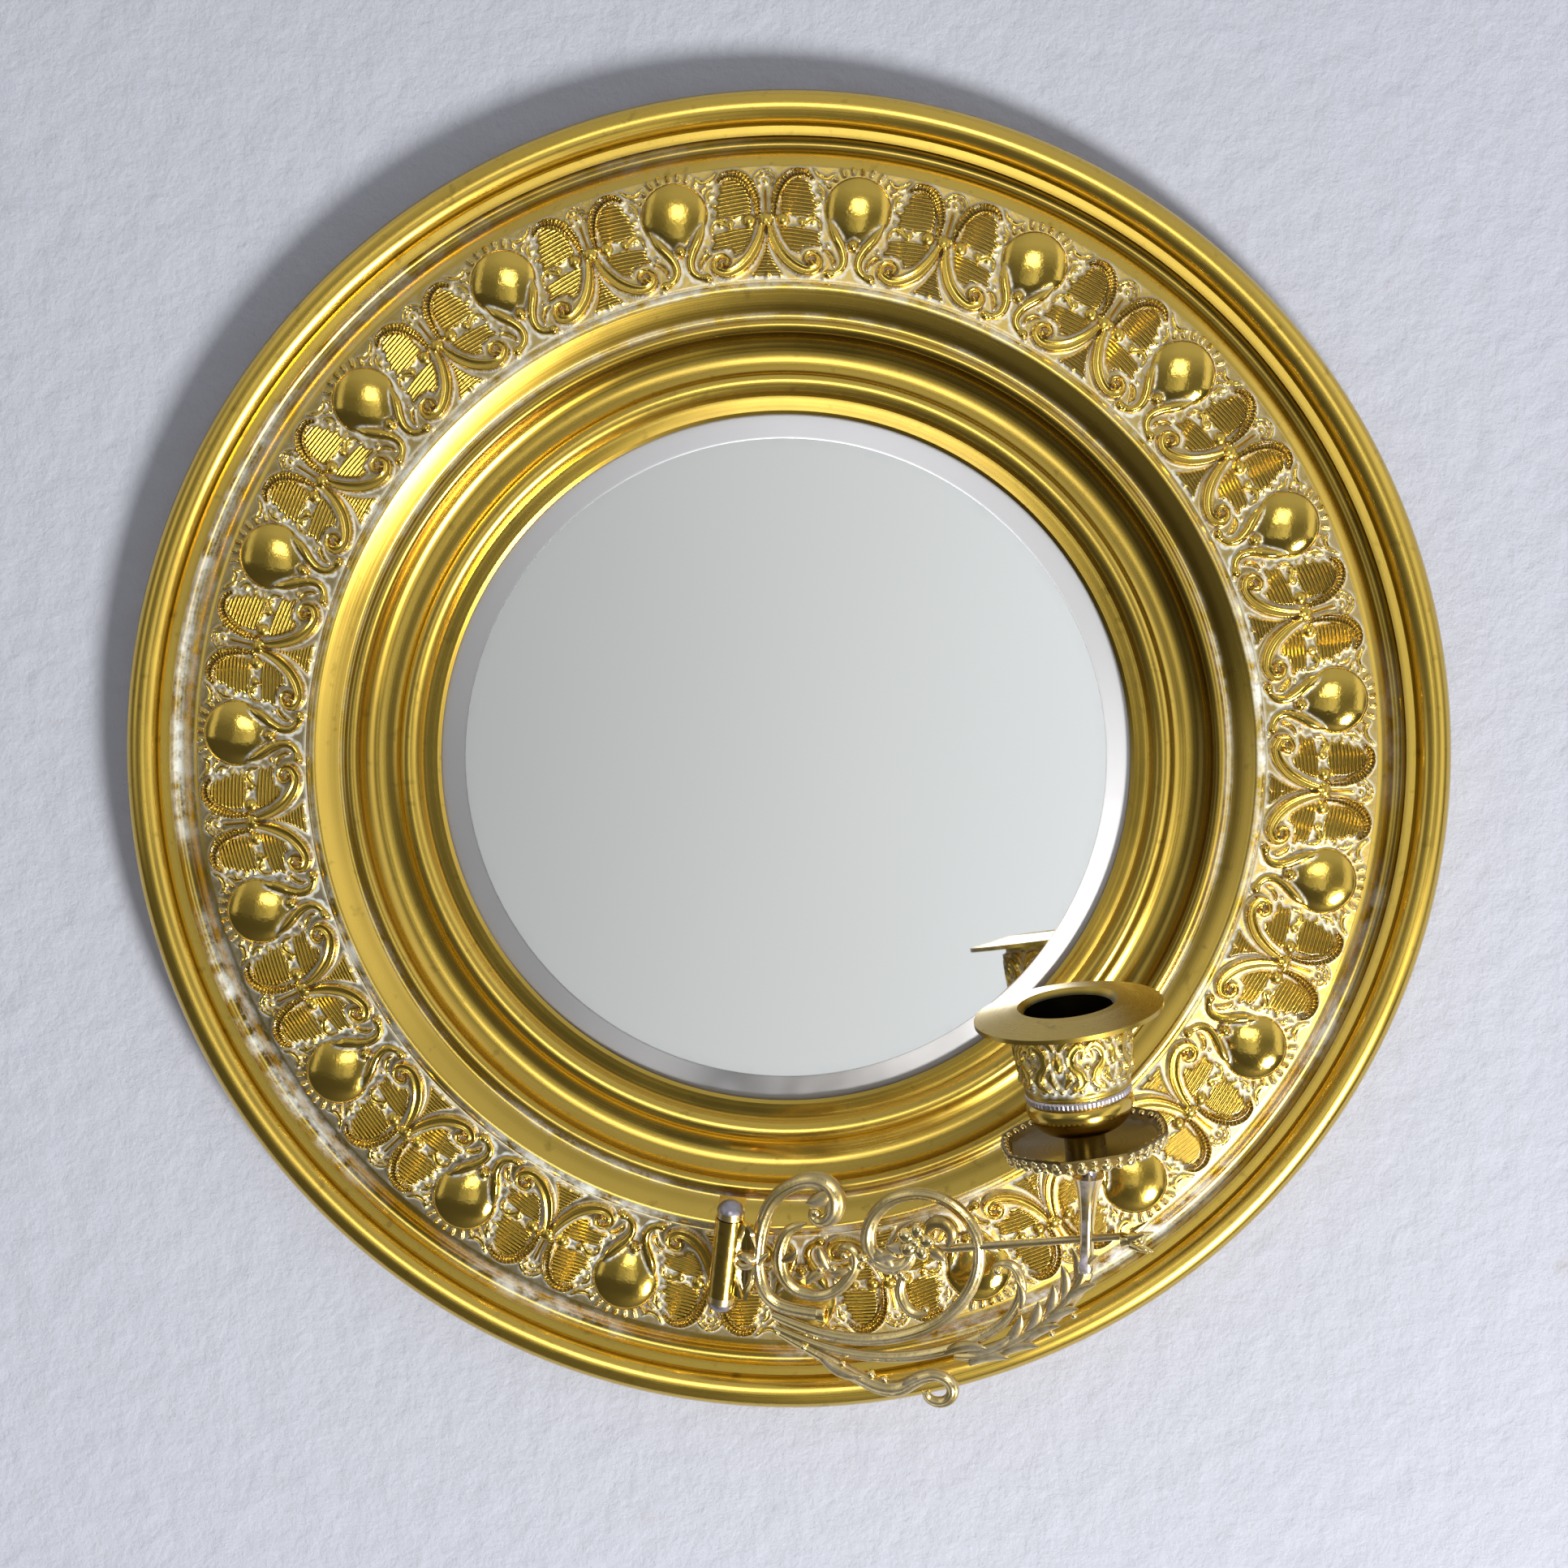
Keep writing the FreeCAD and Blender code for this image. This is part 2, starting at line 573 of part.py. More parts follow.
def hanger():
    """The eye is soldered behind the top of the band. Its frame has Y into the wall, Z up the slope."""
    radius, height = on_band(value("hanger_along"), -value("sheet + solder"))
    frame = at(0, -height, radius, X_AXIS, -LEAN)
    strap_place = frame * at(-value("hanger_width") / 2, 0, -value("hanger_length") / 2)
    strap = solid("Box", "hanger_strap", strap_place, Length="hanger_width", Width="hanger_thick",
                  Height="hanger_length")
    eye_middle = value("hanger_thick + eye_outer") - 0.5
    eye_place = frame * at(-value("eye_length") / 2, eye_middle, 0, Y_AXIS, 90)
    eye = solid("Cylinder", "hanger_eye", eye_place, Radius="eye_outer", Height="eye_length")
    bore = solid("Cylinder", "hanger_bore", eye_place, Radius="eye_bore", Height="eye_length")
    node("hanger_plate", cut("hanger_bored", fuse("hanger_blank", [strap, eye]), bore))
    eye_at = (frame * at(0, eye_middle, 0)).Base
    ring = solid("Torus", "ring", at(eye_at.x, eye_at.y, eye_at.z - value("ring_radius"), X_AXIS, 90),
                 Radius1="ring_radius", Radius2="ring_wire")
    node("hanging_ring", ring)


def ear(name, low):
    """One ear of the bracket, with its lower face at low along the pin."""
    round_end = solid("Cylinder", name + "_round", HINGE * at(0, 0, low), Radius="ear_radius",
                      Height="ear_thick")
    neck = solid("Box", name + "_neck", HINGE * at(-value("ear_radius"), 0, low),
                 Length="ear_radius + ear_radius", Width="spine_near + spine_thick", Height="ear_thick")
    return [round_end, neck]


# From the hinge's middle to the outer face of an ear, and the whole height over the ears.
EAR_END = "barrel_half + ear_gap + ear_thick"
OVER_EARS = EAR_END + " + " + EAR_END


def hinge_bracket():
    low = -value(EAR_END)
    half = value("ear_radius")
    upright = solid("Box", "bracket_upright", HINGE * at(-half, value("spine_near"), low),
                    Length="ear_radius + ear_radius", Width="spine_thick", Height=OVER_EARS)
    web = solid("Box", "bracket_web", HINGE * at(-half, value("spine_near"), low),
                Length="ear_radius + ear_radius", Width="hinge_standoff - spine_near",
                Height=EAR_END + " - pad_top")
    foot_place = HINGE * at(-value("pad_width") / 2, value("hinge_standoff - pad_thick"),
                            -value("pad_bottom"))
    foot = solid("Box", "bracket_foot", foot_place, Length="pad_width", Width="pad_thick",
                 Height="pad_bottom - pad_top")
    levels = ("screw_high", "screw_low")
    bosses = [screw_axis(level, "boss_" + level, "boss_radius", "boss_thick", "boss_thick")
              for level in levels]
    blank = fuse("bracket_blank", [upright, foot, web] + bosses
                 + ear("upper_ear", value("barrel_half + ear_gap")) + ear("lower_ear", low))
    bore = solid("Cylinder", "bracket_bore", HINGE * at(0, 0, low), Radius="pin_radius + pin_fit",
                 Height=OVER_EARS)
    tapped = [screw_axis(level, "tapped_" + level, "screw_radius + thread_fit", "screw_depth", "screw_depth")
              for level in levels]
    node("hinge_bracket", cut("bracket_drilled", blank, fuse("bracket_holes", [bore] + tapped)))


def bracket_fixings():
    screws = []
    washers = []
    behind = "sheet + washer_thick + solder"
    for level in ("screw_high", "screw_low"):
        shank = screw_axis(level, "shank_" + level, "screw_radius", "screw_depth - 0.2 + " + behind,
                           "screw_depth - 0.2")
        head = screw_axis(level, "head_" + level, "screw_head_radius", "screw_head",
                          "0 - sheet - washer_thick - solder")
        screws.append(fuse("screw_" + level, [shank, head]))
        disc = screw_axis(level, "disc_" + level, "washer_radius", "washer_thick", "0 - sheet - solder")
        hole = screw_axis(level, "hole_" + level, "screw_radius + screw_fit", "washer_thick",
                          "0 - sheet - solder")
        washers.append(cut("washer_" + level, disc, hole))
    node("bracket_screws", group("screws", screws))
    node("bracket_washers", group("washers", washers))


def hinge_pin():
    """The pin's lower head is part of it. The upper one is a cap riveted on its end."""
    end = "head_height + 1.4 + " + OVER_EARS
    turned("hinge_pin", (
        ("0", "0"),
        ("head_flat", "0", "head_dome", 1),
        ("head_radius", "head_height"),
        ("pin_radius", "head_height"),
        ("pin_radius", end),
        ("0", end),
    ), HINGE * at(0, 0, -value(EAR_END + " + head_height")))
    turned("pin_cap", (
        ("pin_radius + thread_fit", "0"),
        ("head_radius", "0", "head_dome", 1),
        ("head_flat", "head_height"),
        ("0", "head_height"),
        ("0", "1.4"),
        ("pin_radius + thread_fit", "1.4"),
    ), HINGE * at(0, 0, value(EAR_END)))


# ---------------------------------------------------------------------------------------
# The arm

def leaf(name, root, tip, width):
    """A pointed oval leaf between two points of the arm's plane."""
    start = in_plane(root)
    end = in_plane(tip)
    length = (end - start).Length
    half = length / 2
    radius = (half ** 2 + (width / 2) ** 2) / width
    body = doc.addObject("PartDesign::Body", name)
    pad(body, name + "_blade", "XZ_Plane", (
        ("0", "0", str(radius), 1),
        (str(length), "0", str(radius), 1),
    ), "leaf_sheet")
    angle = math.degrees(math.atan2(end.z - start.z, end.x - start.x))
    body.Placement = ARM * at(start.x, 0, start.z, Y_AXIS, -angle)
    return body


def cross_cone(name, clearance):
    """The tapering rod from the rosette through the great scroll and the stem."""
    start = in_plane(CROSS_START)
    way = in_plane(CROSS_END) - start
    cone = solid("Cone", name, ARM * FreeCAD.Placement(start, FreeCAD.Rotation(Z_AXIS, way)),
                 Radius1="cross_start + " + clearance, Radius2="cross_end + " + clearance)
    cone.Height = way.Length
    return cone


def arm_knuckle(upper):
    """Barrel on the pin, with the scalloped leaf plate that the upper scroll is let into."""
    low = ARM * at(0, 0, -value("barrel_half"))
    barrel = solid("Cylinder", "barrel", low, Radius="barrel_radius", Height="barrel_half + barrel_half")
    bore = solid("Cylinder", "barrel_bore", low, Radius="pin_radius + pin_fit",
                 Height="barrel_half + barrel_half")
    blade = solid("Box", "leaf_plate", ARM * at(0, -value("leaf_thick") / 2, -value("leaf_half")),
                  Length="leaf_reach - scallop_radius", Width="leaf_thick", Height="leaf_half + leaf_half")
    scallops = []
    count = int(value("scallop_count"))
    for i in range(count):
        level = value("leaf_half - scallop_radius") * (2.0 * i / (count - 1) - 1)
        place = ARM * at(value("leaf_reach - scallop_radius"), value("leaf_thick") / 2, level, X_AXIS, 90)
        scallops.append(solid("Cylinder", "scallop_%d" % i, place, Radius="scallop_radius",
                              Height="leaf_thick"))
    blank = fuse("knuckle_blank", [barrel, blade] + scallops)
    node("arm_knuckle", cut("knuckle_bored", blank, fuse("knuckle_tools", [bore, upper])))


def branch(lower, stem):
    rise = (in_plane(STEM_HEAD) - in_plane(STEM_FOOT)).normalize()
    stalk = rod("branch", "branch_rod", BRANCH_START + (STEM_FOOT,), rise)
    leaves = [leaf("branch_leaf_%d" % i, *shape) for i, shape in enumerate(BRANCH_LEAVES)]
    blank = fuse("branch_blank", [stalk] + leaves)
    node("branch", cut("branch_trimmed", blank, fuse("branch_tools", [lower, stem])))


def rosette(great):
    """Round petals about a domed middle, brazed on the end of the great scroll."""
    middle = ARM * at(ROSETTE[0], 0, ROSETTE[1])
    flat = at(0, value("rosette_thick") / 2, 0, X_AXIS, 90)
    pieces = [solid("Cylinder", "rosette_disc", middle * flat, Radius="rosette_radius - petal_radius",
                    Height="rosette_thick"),
              solid("Sphere", "rosette_dome", middle, Radius="petal_radius + 0.4")]
    for i in range(int(value("petal_count"))):
        place = middle * at(axis=Y_AXIS, degrees=(i + 0.5) * 360 / value("petal_count"))
        pieces.append(solid("Cylinder", "petal_%d" % i,
                            place * at(value("rosette_radius - petal_radius"), 0, 0) * flat,
                            Radius="petal_radius", Height="rosette_thick"))
    tools = fuse("rosette_tools", [great, cross_cone("rosette_hole", "cross_fit")])
    node("rosette", cut("rosette_trimmed", fuse("rosette_blank", pieces), tools))


def cross_rod():
    node("cross_rod", cross_cone("cross_taper", "0"))
    start = in_plane(CROSS_START)
    end = in_plane(CROSS_END)
    tip = FreeCAD.Placement(end, FreeCAD.Rotation(Z_AXIS, end - start))
    turned("rod_finial", (
        ("0", "0"),
        ("cross_end + 0.7", "0"),
        ("cross_end + 0.4", "1.6"),
        ("finial_radius", "finial_length - 2.4"),
        ("finial_radius - 1.0", "finial_length - 2.2"),
        ("0", "finial_length"),
    ), ARM * tip)


def scrolls():
    """Each scroll is trimmed where it is brazed to the one before it."""
    upper = rod("upper_scroll", "upper_rod", UPPER)
    inner = cut("inner_trimmed", rod("inner_scroll", "inner_rod", INNER), upper)
    cross_hole = cross_cone("cross_hole", "cross_fit")
    great_tools = fuse("great_tools", [upper, inner, cross_hole])
    great = cut("great_trimmed", rod("great_scroll", "great_rod", GREAT), great_tools)
    lower = cut("lower_trimmed", rod("lower_scroll", "lower_rod", LOWER), great)
    tail = cut("tail_trimmed", rod("tail_scroll", "tail_rod", TAIL), lower)
    curl = cut("curl_trimmed", rod("small_curl", "curl_rod", CURL), great)
    arm_knuckle(upper)
    branch(lower, candle_stem(cross_hole))
    rosette(great)
    cross_rod()
    for label, piece in (("upper_scroll", upper), ("inner_scroll", inner), ("great_scroll", great),
                         ("lower_scroll", lower), ("tail_scroll", tail), ("small_curl", curl)):
        node(label, piece)


# ---------------------------------------------------------------------------------------
# The turned candle stack

def up_candle(words):
    return CANDLE * at(0, 0, value(words))


def candle_stem(cross_hole):
    """The trumpet rises from the branch. Its collar stands square to the candle."""
    foot = in_plane(STEM_FOOT)
    way = in_plane(STEM_HEAD) - foot
    top = str(way.Length - value("collar_height")) + " + 0.4"
    trumpet = turned("stem_trumpet", (
        ("0", "0"),
        ("stem_foot", "0"),
        ("stem_waist", "waist_height", "stem_flare", -1),
        ("stem_top", top),
        ("0", top),
    ), ARM * FreeCAD.Placement(foot, FreeCAD.Rotation(Z_AXIS, way)))
    del nodes["stem_trumpet"]
    collar = solid("Cylinder", "stem_collar", up_candle("0 - collar_height"), Radius="collar_radius",
                   Height="collar_height")
    tapped = solid("Cylinder", "stem_tapped", up_candle("0 - stack_thread - 0.4"),
                   Radius="stack_radius + thread_fit", Height="stack_thread + 0.4")
    blank = fuse("stem_blank", [trumpet, collar])
    return node("candle_stem", cut("stem_drilled", blank, fuse("stem_holes", [cross_hole, tapped])))


def candle_stack():
    bulb_at = "pan_floor"
    ring_at = bulb_at + " + bulb_height"
    cup_at = ring_at + " + cup_ring_height"
    mouth_at = cup_at + " + cup_height"
    turned("drip_pan", (
        (STACK_BORE, "0"),
        ("pan_hub", "0"),
        ("pan_hub", "pan_floor - pan_wall"),
        ("pan_radius - 4.0", "pan_floor + 0.9 - pan_wall"),
        ("pan_radius - pan_wall", "pan_rim - 1.8"),
        ("pan_radius - pan_wall", "pan_rim - pan_skirt"),
        ("pan_radius", "pan_rim - pan_skirt"),
        ("pan_radius", "pan_rim"),
        ("pan_radius - 0.8", "pan_rim"),
        ("pan_radius - 4.0", "pan_floor + 0.9"),
        ("bulb_foot + 1.0", "pan_floor"),
        (STACK_BORE, "pan_floor"),
    ), up_candle("0"))
    turned("bulb_collar", (
        (STACK_BORE, "0"),
        ("bulb_foot", "0"),
        ("bulb_foot", "bulb_neck", "bulb_curve", 1),
        (BULB_WIDE, "bulb_height - shoulder_height", "shoulder_height", 1),
        (BULB_TOP, "bulb_height"),
        (STACK_BORE, "bulb_height"),
    ), up_candle(bulb_at))
    turned("cup_ring", (
        (STACK_BORE, "0"),
        (BULB_TOP, "0"),
        (CUP_FOOT + " + cup_ring_bulge", "0.5"),
        (CUP_FOOT + " + cup_ring_bulge", "cup_ring_height - 0.5"),
        (CUP_FOOT, "cup_ring_height"),
        (STACK_BORE, "cup_ring_height"),
    ), up_candle(ring_at))
    turned("candle_cup", (
        (STACK_BORE, "0"),
        (CUP_FOOT, "0"),
        (CUP_MOUTH, "cup_height"),
        (CUP_MOUTH + " - cup_wall", "cup_height"),
        (CUP_FOOT + " - cup_wall", "cup_floor"),
        (STACK_BORE, "cup_floor"),
    ), up_candle(cup_at))
    turned("candle_nozzle", (
        ("0", "0 - nozzle_depth"),
        ("candle_radius + nozzle_wall", "0 - nozzle_depth"),
        ("candle_radius + nozzle_wall", "0"),
        (CUP_MOUTH + " + 0.4", "0"),
        (CUP_MOUTH + " + flange_reach", "0 - flange_drop"),
        (CUP_MOUTH + " + flange_reach", "flange_thick - flange_drop"),
        (CUP_MOUTH + " + 0.4", "flange_thick"),
        ("candle_radius + mouth_flare", "mouth_height"),
        ("candle_radius", "0"),
        ("candle_radius", "nozzle_wall - nozzle_depth"),
        ("0", "nozzle_wall - nozzle_depth"),
    ), up_candle(mouth_at))
    head_at = "stack_thread + pan_floor + bulb_height + cup_ring_height + cup_floor"
    turned("stack_screw", (
        ("0", "0"),
        ("stack_radius", "0"),
        ("stack_radius", head_at),
        ("stack_head_radius", head_at),
        ("stack_head_radius", head_at + " + stack_head"),
        ("0", head_at + " + stack_head"),
    ), up_candle("0 - stack_thread"))


# ---------------------------------------------------------------------------------------

def check_and_write():
    """Stops if any object failed, then writes one file for each piece."""
    doc.recompute()
    failed = [o.Name for o in doc.Objects if {"Invalid", "Error"} & set(o.State)]
    if failed:
        raise RuntimeError("failed objects: " + ", ".join(failed))
    for label, piece in nodes.items():
        if piece.Shape.isNull() or not piece.Shape.isValid():
            raise RuntimeError(label + " has no valid shape")
    os.makedirs("parts", exist_ok=True)
    for label, piece in nodes.items():
        piece.Shape.exportStep("parts/" + label + ".step")


frame_plate()
mirror_glass()
back_layers()
board_clips()
hanger()
hinge_bracket()
bracket_fixings()
hinge_pin()
scrolls()
candle_stack()
check_and_write()
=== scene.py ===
import json
import math

import bpy
import numpy as np
from bpy.props import FloatProperty, FloatVectorProperty, IntProperty, PointerProperty
from mathutils import Matrix, Vector


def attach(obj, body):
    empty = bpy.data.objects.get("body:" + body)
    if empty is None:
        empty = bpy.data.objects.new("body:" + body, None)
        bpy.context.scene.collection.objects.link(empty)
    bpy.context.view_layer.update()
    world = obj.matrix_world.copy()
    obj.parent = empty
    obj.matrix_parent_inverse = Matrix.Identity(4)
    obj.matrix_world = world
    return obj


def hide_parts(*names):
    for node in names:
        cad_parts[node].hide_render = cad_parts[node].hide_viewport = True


bl_info = {
    "name": "Girandole mirror",
    "version": (1, 0, 0),
    "blender": (4, 5, 0),
    "location": "View3D > Sidebar > Girandole",
    "description": "Dresses a round pressed-brass wall mirror with a scrolled candle arm",
    "category": "Object",
}

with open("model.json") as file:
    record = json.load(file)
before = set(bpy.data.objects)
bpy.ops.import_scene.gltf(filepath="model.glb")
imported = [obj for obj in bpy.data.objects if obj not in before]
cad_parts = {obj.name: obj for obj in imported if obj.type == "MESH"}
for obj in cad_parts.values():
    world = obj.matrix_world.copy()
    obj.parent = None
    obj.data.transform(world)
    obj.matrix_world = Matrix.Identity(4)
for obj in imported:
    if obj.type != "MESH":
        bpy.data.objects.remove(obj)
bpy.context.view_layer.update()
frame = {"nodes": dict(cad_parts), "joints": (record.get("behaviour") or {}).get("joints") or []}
NODES = frame["nodes"]
MM = 0.001

# ---------------------------------------------------------------------------------------
# Where things are: the embossed band, the arm's plane and the candle's axis

BAND_IN = (128.8, 20.9)
BAND_OUT = (160.3, 14.2)
BAND_SLOPE = math.atan2(BAND_IN[1] - BAND_OUT[1], BAND_OUT[0] - BAND_IN[0])
BAND_LENGTH = math.hypot(BAND_OUT[0] - BAND_IN[0], BAND_IN[1] - BAND_OUT[1])

SWING = next(j for j in frame["joints"] if j["name"] == "arm_swing")
ARM_AT_REST = math.radians(16.0)
STEM_FOOT, STEM_HEAD = (98.6, 20.6), (95.4, 49.8)
CANDLE_LEAN = math.radians(14.6)
CUP_FOOT, CUP_MOUTH = (13.45, 21.7), (14.65, 43.1)


def arm_frame():
    """X out along the arm, Y across it towards the plate, Z along the pin; millimetres."""
    pin = -Vector(SWING["axis"])
    hinge = Matrix.Rotation(math.atan2(-pin.y, pin.z), 4, "X")
    return (Matrix.Translation(Vector(SWING["pos_m"])) @ hinge
            @ Matrix.Rotation(-ARM_AT_REST, 4, "Z") @ Matrix.Scale(MM, 4))


ARM = arm_frame()
CANDLE = (ARM @ Matrix.Translation((STEM_HEAD[0], 0, STEM_HEAD[1]))
          @ Matrix.Rotation(-CANDLE_LEAN, 4, "Y"))
# A flat drawing in X and Y, thickness along Z, stood up in the arm's plane.
ARM_PLANE = ARM @ Matrix.Rotation(math.pi / 2, 4, "X")


def band_place(degrees):
    """A flat drawing laid on the band: X along it clockwise, Y out to the rim, Z off the face."""
    turn = Matrix.Rotation(math.radians(degrees), 4, "Y")
    along = Matrix(((1, 0, 0, 0),
                    (0, math.sin(BAND_SLOPE), -math.cos(BAND_SLOPE), -BAND_IN[1]),
                    (0, math.cos(BAND_SLOPE), math.sin(BAND_SLOPE), BAND_IN[0]),
                    (0, 0, 0, 1)))
    return Matrix.Scale(MM, 4) @ turn @ along


# ---------------------------------------------------------------------------------------
# Sizes and colours that a user would change

class GirandoleSizes(bpy.types.PropertyGroup):
    egg_count: IntProperty(name="Eggs", description="Egg bosses round the band", default=19, min=3)
    first_egg: FloatProperty(name="First egg", description="Degrees clockwise from the top", default=1.0)
    egg_radius: FloatProperty(name="Egg radius", description="Head of an egg, mm", default=9.2)
    egg_height: FloatProperty(name="Egg height", description="Relief of an egg, mm", default=3.6)
    band_steps: IntProperty(name="Band steps", description="Mesh steps along one repeat", default=176)
    band_rows: IntProperty(name="Band rows", description="Mesh rows across the band", default=120)
    cup_repeats: IntProperty(name="Cup repeats", description="Bosses round the cup", default=6)
    pan_lobes: IntProperty(name="Pan lobes", description="Lobes of the drip pan", default=8)


def colour(name, description, default):
    return FloatVectorProperty(name=name, description=description, subtype="COLOR", size=3,
                               default=default, min=0, max=1)


class GirandoleColours(bpy.types.PropertyGroup):
    brass: colour("Brass", "Polished brass", (0.66, 0.455, 0.075))
    pale_brass: colour("Pale brass", "Cast brass of the arm", (0.92, 0.74, 0.33))
    dull_brass: colour("Dull brass", "Unpolished brass", (0.40, 0.28, 0.10))
    # Also the colour of the painted highlights on the plate's rings.
    residue: colour("Residue", "Dried polish in the hollows", (0.78, 0.82, 0.80))
    # Also the colour of the painted shade in the plate's coves and on the bulb's neck.
    tarnish: colour("Tarnish", "Dark film on brass", (0.17, 0.105, 0.008))
    wall: colour("Wall", "Painted wall", (0.43, 0.447, 0.512))


# ---------------------------------------------------------------------------------------
# Node materials

class Nodes:
    """A short hand for wiring the nodes of a material, or of the world."""

    def __init__(self, name, owners="materials", end="OutputMaterial"):
        self.material = getattr(bpy.data, owners).new(name)
        self.material.use_nodes = True
        self.tree = self.material.node_tree
        self.tree.nodes.clear()
        self.out = self.add(end)
        self.shader = None

    def put(self, socket, value):
        """Links an output to a socket, or sets the socket's own number or colour."""
        if isinstance(value, bpy.types.NodeSocket):
            self.tree.links.new(value, socket)
        elif socket.type == "RGBA":
            socket.default_value = (*value, 1)
        else:
            socket.default_value = value

    def add(self, kind, inputs=None, **settings):
        node = self.tree.nodes.new("ShaderNode" + kind)
        for key, value in settings.items():
            setattr(node, key, value)
        for key, value in (inputs or {}).items():
            self.put(node.inputs[key], value)
        return node

    def principled(self, **inputs):
        named = {key.replace("_", " "): value for key, value in inputs.items()}
        self.shader = self.add("BsdfPrincipled", named).outputs[0]
        self.put(self.out.inputs[0], self.shader)

    def cover(self, share, kind, **inputs):
        """Lays a second shader over the first where share is above 0."""
        over = self.add(kind, inputs).outputs[0]
        both = self.add("MixShader", {"Fac": share, 1: self.shader, 2: over})
        self.put(self.out.inputs[0], both.outputs[0])

    def place(self):
        return self.add("TexCoord").outputs["Object"]

    def facing(self):
        """The three parts of the surface's direction."""
        return self.add("SeparateXYZ", {"Vector": self.add("NewGeometry").outputs["Normal"]}).outputs

    def math(self, operation, *values, clamp=False):
        return self.add("Math", dict(enumerate(values)), operation=operation, use_clamp=clamp).outputs[0]

    def times(self, first, second, clamp=False):
        return self.math("MULTIPLY", first, second, clamp=clamp)

    def plus(self, first, second):
        return self.math("ADD", first, second)

    def noise(self, scale, detail=3.0, rough=0.55, vector=None, spread=(0.35, 0.65)):
        node = self.add("TexNoise", {"Vector": vector or self.place(), "Scale": scale, "Detail": detail,
                                     "Roughness": rough})
        return self.remap(node.outputs[0], *spread)

    def remap(self, value, low, high, to_low=0.0, to_high=1.0):
        return self.add("MapRange", {"Value": value, "From Min": low, "From Max": high,
                                     "To Min": to_low, "To Max": to_high}).outputs[0]

    def ramp(self, value, whole, stops):
        """A smooth curve of level over place, as (place, level) stops up to a whole."""
        node = self.add("ValToRGB", {"Fac": self.math("DIVIDE", value, whole)})
        points = node.color_ramp.elements
        while len(points) < len(stops):
            points.new(0.5)
        for point, (at, level) in zip(points, stops):
            point.position = at / whole
            point.color = (level, level, level, 1)
        return node.outputs[0]

    def mix(self, share, first, second):
        return self.add("Mix", {0: share, 6: first, 7: second}, data_type="RGBA").outputs[2]

    def bump(self, height, distance, strength=1.0, normal=None):
        inputs = {"Height": height, "Distance": distance, "Strength": strength}
        if normal is not None:
            inputs["Normal"] = normal
        return self.add("Bump", inputs).outputs[0]

    def attribute(self, name):
        return self.add("Attribute", attribute_name=name).outputs["Fac"]


PLATE_AXIS = ((0, 0, 0), (0, 1, 0))     # a point and a direction
RING_REACH = 0.2        # ring tables run up to this radius, in metres
WALL_OPENING = 0.174    # radius in metres behind which the wall is left open


def radius_from(nodes, centre, along):
    """Distance of the shaded point from an axis through centre, in metres."""
    def vector(operation, output=0, **inputs):
        named = {int(key[1:]) if key[1:].isdigit() else key: value for key, value in inputs.items()}
        return nodes.add("VectorMath", named, operation=operation).outputs[output]

    away = vector("SUBTRACT", _0=nodes.place(), _1=tuple(centre))
    share = vector("DOT_PRODUCT", "Value", _0=away, _1=tuple(along))
    foot = vector("SCALE", _0=tuple(along), Scale=share)
    return vector("LENGTH", "Value", _0=vector("SUBTRACT", _0=away, _1=foot))


def spun_lines(nodes, radius, pitch):
    """Faint lathe and polishing lines: noise that changes only with the radius."""
    lines = nodes.add("TexNoise", {"W": nodes.times(radius, 1 / pitch), "Scale": 1.0,
                                   "Detail": 3.0}, noise_dimensions="1D")
    return lines.outputs[0]


